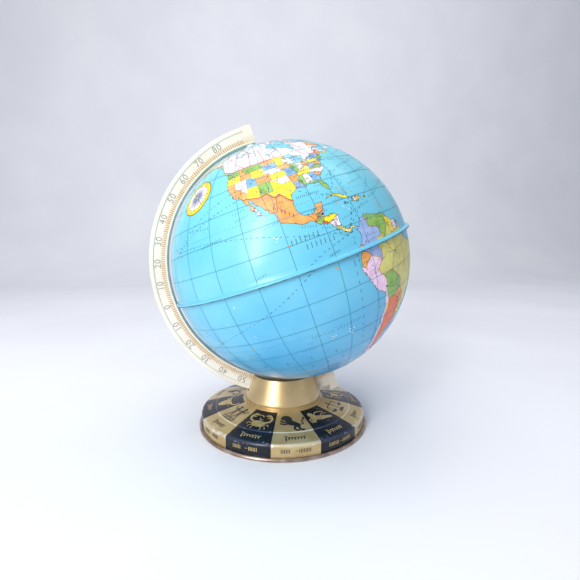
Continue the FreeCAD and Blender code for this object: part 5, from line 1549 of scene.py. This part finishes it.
def make_base_shell():
    """The dish's lathe section: printed face, band, rolled hem, and the bare inside."""
    centre_hole = (SCREW_HOLE, FLAT_Z)
    roll = []
    for i in range(HEM_STEPS + 1):
        angle = math.radians(HEM_START - HEM_TURN * i / HEM_STEPS)
        height = max(HEM_Z + HEM_ROLL * math.sin(angle), 0.0)
        roll.append((HEM_MIDDLE + HEM_ROLL * math.cos(angle), height))
    inside = [(r - TIN, z - TIN * 0.2) for r, z in reversed(FACE[3:-1])]
    inside += [(CREASE_RADIUS - 0.1 * MM, CREASE_Z - TIN), (RING_END[0] - 0.1 * MM, RING_END[1] - TIN)]
    inside += [(FLAT_EDGE[0], FLAT_EDGE[1] - TIN), (centre_hole[0], centre_hole[1] - TIN)]
    section = [centre_hole, *FACE, *roll, *inside]
    shell = lathe("base_shell", section, ROUND_STEPS, upright, [BASE_GOLD, bare_tin()],
                  "base_print", "stand", "zodiac_base", crease=12)
    hem_top = HEM_Z + HEM_ROLL
    for face in shell.data.polygons:
        middle = face.center
        out = math.hypot(middle.x, middle.y)
        inside_face = face.normal.z < 0 and out < RIDGE_RADIUS - TIN
        on_hem = middle.z < hem_top and out > RIDGE_RADIUS
        if inside_face or on_hem or middle.z < HEM_Z:
            face.material_index = 1


def make_black_panels():
    """Every other panel's black print, from the pedestal to the hem."""
    drawing = Drawing()
    steps = 24
    sliver = 0.01 * MM
    stations = []
    reached = 0.0
    for a, b in zip(FACE, FACE[1:]):
        run = math.dist(a, b)
        stations += [reached + sliver, reached + run - sliver] if run > 0.5 * MM else [reached + run / 2]
        reached += run
    for panel in range(1, PANELS, 2):
        start = FIRST_PANEL + PANEL_TURN * panel
        spots = [on_base(start + PANEL_TURN * i / steps, along, 0.04 * MM)
                 for along in stations for i in range(steps + 1)]
        faces = []
        for row in range(len(stations) - 1):
            for i in range(steps):
                a = row * (steps + 1) + i
                faces.append((a, a + steps + 1, a + steps + 2, a + 1))
        drawing.add(*apart(spots), faces)
    drawing.made("black_panels", [BASE_BLACK], "stand", "base_print")


# Each sign as a few strokes, in millimetres about the middle of its panel: "line" and "bend" are strokes with
# a width, "area" and "blob" are filled, with straight and with soft edges. A star repeats it mirrored.
SIGNS = [
    # twins
    """blob* -3.2,5.2 -2.2,6 -1.2,5.2 -2.2,4.2|line* 1.1 -2.2,4.2 -2.1,0.6|line* 0.6 -2.2,0.6 -3.6,-4
    |line* 0.6 -2,0.6 -0.6,-4|bend* 0.6 -5.6,4.4 -3.8,2.4 -2.2,3.4 0,2.2|line 0.5 -4.4,-4.4 4.4,-4.4
    |line 0.5 -4.4,-5.8 4.4,-5.8|line* 0.5 -4.4,-4.4 -4.4,-5.8|line* 0.5 -1.6,-4.4 -1.6,-5.8""",
    # crab
    """blob -3.6,-2 -2.6,-0.2 0,0.6 2.6,-0.2 3.6,-2 2.2,-4 -2.2,-4
    |bend* 1.2 -2.6,-0.8 -5.2,0.4 -5.6,2.8 -4.4,4.6|blob* -4.9,4 -4,5.8 -1.4,5 -3,4.2
    |blob* -5.4,3.2 -4.4,3.6 -2.8,3.2 -4.2,2.6|line* 0.5 -2.8,-2.4 -5.4,-2 -6,-3.6
    |line* 0.4 -2.6,-3.2 -4.4,-4 -4.8,-5.6|line* 0.4 -1.8,-3.8 -2.6,-5 -2.4,-6.2
    |bend 0.55 -1.4,4.4 -0.2,5 0.9,3.6|bend 0.55 1.4,1.8 0.2,1.2 -0.9,2.6""",
    # lion
    """blob -5,3.2 -4.3,4.7 -3,5.8 -1,5.6 0.4,4 0.8,1.6 2.6,0.2 4.2,-1.6 3.8,-3.4 2.4,-3.6 1.2,-2.4
    -0.8,-1.8 -2.2,-0.6 -2.6,1.2 -3.6,2.2|bend 1.1 -2.2,0.6 -4.2,0.9 -5.4,2
    |bend 1.1 -2,-0.6 -4.2,-1 -5.8,-0.2|bend 1.2 3.6,-2.6 3.4,-4.6 4.6,-5.8 5.8,-5.6
    |bend 1.1 1.6,-2.6 0.8,-4.4 2,-5.8 3.2,-5.8|bend 0.6 4,-1.4 5.8,-1.6 5.4,0.8 6.6,2.2
    |blob 6,2 6.4,3.8 7.2,3 7,2""",
    # maiden
    """blob -5.2,3.6 -4.2,5.4 -2.6,5.2 -2.2,3.8 -3.4,2.8 -4.8,2.6
    |blob -4.6,2.8 -2.6,3.4 -0.6,1.8 2,0.8 5,-0.8 7,-2.4 5.6,-3 2.6,-2.2 -0.4,-2 -3,-1 -4.8,-2.6 -6,-2
    -5.4,0.4|bend 0.8 -2.6,2.4 0,4.4 2.8,4 4.6,2.6|bend 0.8 -5,1 -6.6,0 -6.6,-2.6|bend 0.5 1,1.2 3,2 5.6,1""",
    # scales
    """line 0.6 0,5.4 0,-3|line* 0.6 -4.6,3.4 0,4|line* 0.3 -4.6,3.4 -6.2,-0.6|line* 0.3 -4.6,3.4 -3,-0.6
    |blob* -6.6,-0.5 -2.6,-0.5 -3.6,-2 -5.6,-2|area -2,-2.8 2,-2.8 3,-4.4 -3,-4.4
    |blob -0.7,5.4 0,6.4 0.7,5.4 0,4.6""",
    # scorpion
    """blob -1.6,1.4 0,3 1.6,1.4 1.2,-1.4 0,-2.4 -1.2,-1.4|bend* 0.8 -1,2 -3.4,3 -3.6,5.2
    |blob* -4.4,5 -3.6,6.6 -2.6,5.2|line* 0.4 -1.4,1 -4,1 -5.2,-0.6|line* 0.4 -1.4,0 -3.8,-0.6 -4.6,-2.2
    |line* 0.4 -1.2,-1 -3,-2 -3.4,-3.6|bend 1 0,-2 0.4,-4.4 2.6,-5.2 4.8,-3.6 4.6,-1.2
    |area 4,-1.4 5.2,-1.2 5,0.6""",
    # archer
    """bend 0.7 -3,5.6 2.2,4 3.8,0 2.2,-4 -3,-5.6|line 0.3 -3,5.6 -2,0 -3,-5.6|line 0.5 -6,0 5,0
    |area 4.6,1.2 7,0 4.6,-1.2|line 0.4 -6,0 -6.8,1.2|line 0.4 -6,0 -6.8,-1.2|line 0.4 -5,0 -5.8,1.2
    |line 0.4 -5,0 -5.8,-1.2""",
    # goat with a fish's tail
    """blob -5.4,2.6 -4.2,4 -2.6,3.4 -0.6,2.2 2,2 4,0.6 5,-1.6 4,-3.2 2.6,-1.6 0,-1 -2.6,-0.6 -3.4,1.4
    -4.8,1.6|bend 0.6 -3.6,3.6 -2.4,5.6 -0.4,6|bend 0.6 -3,3.4 -1.4,4.6 0.2,4.6|line 0.7 -2.8,0 -3.8,-4
    |line 0.7 -1.6,-0.4 -1.8,-4.2|bend 1.1 4.4,-2 3,-4.4 4.6,-5.6|blob 4.2,-5 6.6,-4.4 6,-6.4 4.4,-6""",
    # water bearer
    """blob -5,5 -3,6 -1.4,4.6 -1.6,2.4 -3.4,1.4 -5.2,2.6|line 0.8 -1.6,4.4 0.2,5.2
    |bend 0.6 -0.2,4.8 2,4.4 2.6,2 4.6,1.2|bend 0.6 -6,-1 -4,0.2 -2,-1 0,0.2 2,-1 4,0.2 6,-1
    |bend 0.6 -6,-3.2 -4,-2 -2,-3.2 0,-2 2,-3.2 4,-2 6,-3.2
    |bend 0.6 -6,-5.4 -4,-4.2 -2,-5.4 0,-4.2 2,-5.4 4,-4.2 6,-5.4""",
    # fishes
    """blob -5.4,3.4 -3,5 0.6,4.4 3.4,2.6 0.6,1.6 -3,1.8|area 2.8,2.6 5.4,4.6 5.4,0.8
    |blob 5.4,-3.4 3,-5 -0.6,-4.4 -3.4,-2.6 -0.6,-1.6 3,-1.8|area -2.8,-2.6 -5.4,-4.6 -5.4,-0.8
    |bend 0.4 -5.4,3 -6.8,0 -3,0 3,0 6.8,0 5.4,-3""",
    # ram
    """bend* 1.1 0,-1 -0.8,2.6 -3,5 -5.6,4 -5.6,1.4 -3.8,0.6|blob -1.6,0 1.6,0 2,-2 1,-5 -1,-5 -2,-2
    |line* 0.5 -1.6,-0.6 -3.6,-1.6""",
    # bull
    """blob -2.6,1.6 2.6,1.6 3.2,-1 2,-5 0,-6 -2,-5 -3.2,-1|bend* 1 -2,1.4 -5,1.6 -6.2,3.6 -5.4,5.8
    |line* 0.7 -3,0.4 -5.2,-0.6|blob* -1.7,-4.4 -0.9,-4.2 -1.1,-5""",
]


def filled(panel, along, outline, lift, drawing, colour):
    """Fills an outline on a panel; outline in metres."""
    grid = 1.2 * MM
    outline = divided(outline, grid, flat=True)
    low = [min(p[k] for p in outline) for k in (0, 1)]
    high = [max(p[k] for p in outline) for k in (0, 1)]
    dots = [(low[0] + grid * (i + 0.5), low[1] + grid * (j + 0.5))
            for i in range(int((high[0] - low[0]) / grid)) for j in range(int((high[1] - low[1]) / grid))]
    scale = 1000
    points, triangles, owners = triangulated(
        [[(x * scale, y * scale) for x, y in outline]], [(x * scale, y * scale) for x, y in dots])
    spots = [on_panel(panel, along, p[0] / scale, p[1] / scale, lift) for p in points]
    kept = [tuple(t) for t, inside in zip(triangles, owners) if inside]
    drawing.add(*apart(spots), kept, colour)


def stroked(panel, along, line, width, lift, drawing, colour):
    """Draws a stroke on a panel; line and width in metres."""
    line = divided(line, 1.2 * MM, flat=True, closed=False)
    spots = [on_panel(panel, along, x, y, lift) for x, y in line]
    drawing.ribbon(*apart(spots), width, colour)


def draw_sign(panel, drawing, colour, lift):
    """One panel's picture."""
    for stroke in SIGNS[panel].replace("\n", " ").split("|"):
        kind, *words = stroke.split()
        width = float(words.pop(0)) * SIGN_SIZE * MM if kind[:4] in ("line", "bend") else 0.0
        points = [(x * SIGN_SIZE * MM, y * SIGN_SIZE * MM) for x, y in numbers(" ".join(words))]
        for mirror in (1, -1) if kind.endswith("*") else (1,):
            shape = [(mirror * x, y) for x, y in points]
            if kind[:4] == "line":
                stroked(panel, RING_MIDDLE, shape, width, lift, drawing, colour)
            elif kind[:4] == "bend":
                stroked(panel, RING_MIDDLE, smooth(shape, 4), width, lift, drawing, colour)
            elif kind[:4] == "area":
                filled(panel, RING_MIDDLE, shape, lift, drawing, colour)
            else:
                filled(panel, RING_MIDDLE, smooth(shape, 4, closed=True), lift, drawing, colour)


PICTURE_LIFT = 0.09 * MM            # above the tin
LOOP_STEPS = 14                     # of each loop in a name's flourish
LOOP_PITCH = 1.75 * MM
LOOP_WIDTH = 0.42 * MM              # of the line
BAR_PITCH = 0.92                    # of a date's bars, in millimetres
BAR_HALF = 1.1 * MM
BAR_STARTS = (-8.6, 1.6)


def make_base_pictures():
    """Signs on the inner ring, loops for each name, bars for each date: gold on black, black on gold."""
    drawing = Drawing()
    draw = random.Random(12)
    for panel in range(PANELS):
        colour = panel % 2
        draw_sign(panel, drawing, colour, PICTURE_LIFT)
        loops = draw.randrange(5, 8)
        heights = [1.9, *(draw.uniform(0.6, 1.15) for _ in range(loops))]
        flourish = []
        for i in range(LOOP_STEPS * loops + 1):
            turn = FULL_TURN * i / LOOP_STEPS
            x = (i / LOOP_STEPS - loops / 2) * LOOP_PITCH + 0.62 * MM * math.sin(turn)
            flourish.append((x, heights[i // LOOP_STEPS] * MM * math.cos(turn)))
        stroked(panel, NAME_MIDDLE, flourish, LOOP_WIDTH, PICTURE_LIFT, drawing, colour)
        for start, count in [(start, draw.randrange(6, 9)) for start in BAR_STARTS]:
            for i in range(count):
                x = (start + i * BAR_PITCH) * MM
                bar = [(x, -BAR_HALF), (x, BAR_HALF)]
                stroked(panel, DATE_MIDDLE, bar, 0.4 * MM, PICTURE_LIFT, drawing, colour)
        dash = [(-0.6 * MM, 0), (0.5 * MM, 0)]
        stroked(panel, DATE_MIDDLE, dash, 0.34 * MM, PICTURE_LIFT, drawing, colour)
    materials = [mottled("figure_black", "14161c", "22252e", 300, roughness=0.32),
                 mottled("figure_gold", "cdb684", "b59c66", 300, roughness=0.36, metallic=0.5)]
    drawing.made("sign_pictures", materials, "stand", "base_print")


make_base_shell()
make_black_panels()
make_base_pictures()

# ---------------------------------------------------------------- finishes of the carried parts


TINT_START = 79.9 * MM              # where the arm's web has yellowed, from the globe's centre
TINT_END = 84.4 * MM


def ivory():
    """Moulded ivory plastic, yellowed towards the globe and marked by handling."""
    finish = Finish("ivory_plastic", roughness=0.36, coat=0.15)
    offset = finish.node("ShaderNodeVectorMath", operation="DISTANCE")
    finish.feed(offset.inputs[0], finish.place)
    finish.feed(offset.inputs[1], tuple(CENTRE))
    inner = finish.between(offset.outputs["Value"], TINT_START, TINT_END, 0.95, 0.0)
    patchy = finish.patches(120, 4.0, at_low=0.2, at_high=1.0)
    tint = finish.maths("MULTIPLY", inner, patchy)
    in_web = finish.between(offset.outputs["Value"], TINT_START - 0.1 * MM, TINT_START + 0.2 * MM)
    tint = finish.maths("MULTIPLY", tint, in_web)
    cloud = finish.patches(60, 4.0)
    body = finish.mix(cloud, rgb("dfd7c7"), rgb("ebe5d8"))
    colour = finish.mix(tint, body, rgb("d6b27c"))
    grime_and_shade = finish.patches(320, 6.0, 0.66, 0.74, 0.0, 0.45)
    finish.rough(finish.patches(90, 4.0, at_low=0.3, at_high=0.46))
    finish.bump(finish.noise(240, 3.0), 0.04 * MM)
    return finish.colour(finish.mix(grime_and_shade, colour, rgb("c9a67c"))).material


def gold_lacquer():
    """Spun pedestal: satin gold with faint turning marks and small dark specks."""
    finish = Finish("gold_lacquer", roughness=0.36, metallic=0.8, coat=0.2)
    cloud = finish.patches(45, 4.0)
    colour = finish.mix(cloud, rgb("c4aa7a"), rgb("dac398"))
    specks = finish.patches(420, 4.0, 0.7, 0.75, 0.0, 0.6)
    colour = finish.mix(specks, colour, rgb("7d5c33"))
    rings = finish.noise(160, 2.0, (0.12, 0.12, 14.0))
    finish.rough(finish.between(rings, 0.3, 0.7, 0.33, 0.4))
    finish.bump(rings, 0.007 * MM)
    return finish.colour(colour).material


def metal(name, light, dark, roughness, per_metre=600):
    """A small metal part, faintly brushed."""
    finish = Finish(name, roughness=roughness, metallic=1.0)
    brushed = finish.noise(per_metre, 3.0, (1.0, 1.0, 6.0))
    finish.rough(finish.between(brushed, 0.3, 0.7, roughness - 0.08, roughness + 0.1))
    return finish.colour(finish.mix(finish.between(brushed, 0.3, 0.7), rgb(dark), rgb(light))).material


FINISHES = {
    "meridian_arm": ivory(),
    "pedestal_cone": gold_lacquer(),
    "steel": metal("zinc_steel", "c9ccd0", "9a9da3", 0.34),
    "brass": metal("eyelet_brass", "d8b25c", "b08a3c", 0.3),
    "white_plastic": mottled("spacer_white", "f4f2ec", "e2dfd6", 300, roughness=0.45),
}
CARRIED = {
    "meridian_arm": "meridian_arm", "pedestal_cone": "pedestal_cone",
    "north_pivot_pin": "steel", "south_pivot_pin": "steel", "foot_washer": "steel", "lock_washer": "steel",
    "foot_screw": "steel", "north_eyelet": "brass", "south_eyelet": "brass",
    "north_spacer": "white_plastic", "south_spacer": "white_plastic",
}
for node_name, finish_name in CARRIED.items():
    for material_slot in frame["nodes"][node_name].material_slots:
        material_slot.material = FINISHES[finish_name]

# ---------------------------------------------------------------- floor, light and camera


WALL_Y = 1.5                        # the wall behind the globe
WALL_BEND = 0.5
BEND_STEPS = 16
FLOOR_FRONT = -4.0
WALL_TOP = 4.0
SWEEP_SIDES = (-5.0, 5.0)


def make_sweep():
    """A pale floor that curves up into a wall behind the globe."""
    bend_start = WALL_Y - WALL_BEND
    profile = [(FLOOR_FRONT, 0.0), (bend_start, 0.0)]
    for i in range(1, BEND_STEPS + 1):
        turn = math.pi / 2 * i / BEND_STEPS
        profile.append((bend_start + WALL_BEND * math.sin(turn), WALL_BEND * (1 - math.cos(turn))))
    profile.append((WALL_Y, WALL_TOP))
    points = [(x, y, z) for y, z in profile for x in SWEEP_SIDES]
    faces = [(2 * i, 2 * i + 1, 2 * i + 3, 2 * i + 2) for i in range(len(profile) - 1)]
    mesh = bpy.data.meshes.new("sweep")
    mesh.from_pydata(points, [], faces)
    mesh.materials.append(mottled("pale_floor", "e6e8ee", "e0e2ea", 4, roughness=0.7))
    mesh.shade_smooth()
    sweep = bpy.data.objects.new("sweep", mesh)
    bpy.context.scene.collection.objects.link(sweep)


GLOBE_AIM = (0, 0, 0.1)             # where the lights point, but for the wall's
WARM = (1.0, 0.99, 0.97)
COOL = (0.93, 0.96, 1.0)
NEUTRAL = (1, 1, 1)


def area_light(name, place, size, power, colour=NEUTRAL, aim=GLOBE_AIM):
    """A soft rectangular light that the camera can't see."""
    light = bpy.data.lights.new(name, "AREA")
    light.shape = "RECTANGLE"
    light.size, light.size_y = size
    light.energy = power
    light.color = colour
    lamp = bpy.data.objects.new(name, light)
    lamp.location = place
    lamp.rotation_euler = (Vector(aim) - Vector(place)).to_track_quat("-Z", "Y").to_euler()
    lamp.visible_camera = False
    bpy.context.scene.collection.objects.link(lamp)


def make_light():
    """A window's light from the front left, a weak fill, one overhead, one for the wall, a pale room."""
    world = bpy.data.worlds.new("pale_room")
    world.use_nodes = True
    background = world.node_tree.nodes["Background"]
    background.inputs["Color"].default_value = (0.93, 0.95, 1.0, 1.0)
    background.inputs["Strength"].default_value = 0.42
    bpy.context.scene.world = world
    area_light("window", (-0.8, -0.92, 0.62), (0.6, 1.1), 7.5, WARM)
    area_light("window_bright", (-0.76, -0.94, 0.56), (0.2, 1.0), 8.5, WARM)
    area_light("overhead", (-0.3, -0.1, 1.3), (1.2, 1.2), 7.0)
    area_light("right_fill", (1.0, -0.6, 0.5), (0.8, 0.8), 0.5, COOL)
    area_light("wall_wash", (0.4, 0.2, 1.8), (1.8, 0.6), 9.0, aim=(0.5, WALL_Y, 0.5))


CAMERA_PLACE = (-0.0365, -0.2444, 0.1155)
CAMERA_LENS = 22.9                  # millimetres, on a sensor 36 mm wide
HEADING = math.radians(-9.61)       # from +Y; minus is towards +X
TILT = math.radians(-6.07)          # minus is below level
ROLL = math.radians(0.09)


def make_camera():
    """The viewing angle."""
    lens = bpy.data.cameras.new("camera")
    lens.lens = CAMERA_LENS
    lens.sensor_width = 36
    lens.clip_start = 0.01
    camera = bpy.data.objects.new("camera", lens)
    camera.rotation_euler = (
        Matrix.Rotation(HEADING, 4, "Z") @ Matrix.Rotation(math.pi / 2 + TILT, 4, "X")
        @ Matrix.Rotation(ROLL, 4, "Z")).to_euler()
    camera.location = CAMERA_PLACE
    bpy.context.scene.collection.objects.link(camera)
    bpy.context.scene.camera = camera


make_sweep()
make_light()
make_camera()
bpy.context.scene.view_settings.view_transform = "Standard"

# ---------------------------------------------------------------- the scene brought up to date

bpy.context.view_layer.update()
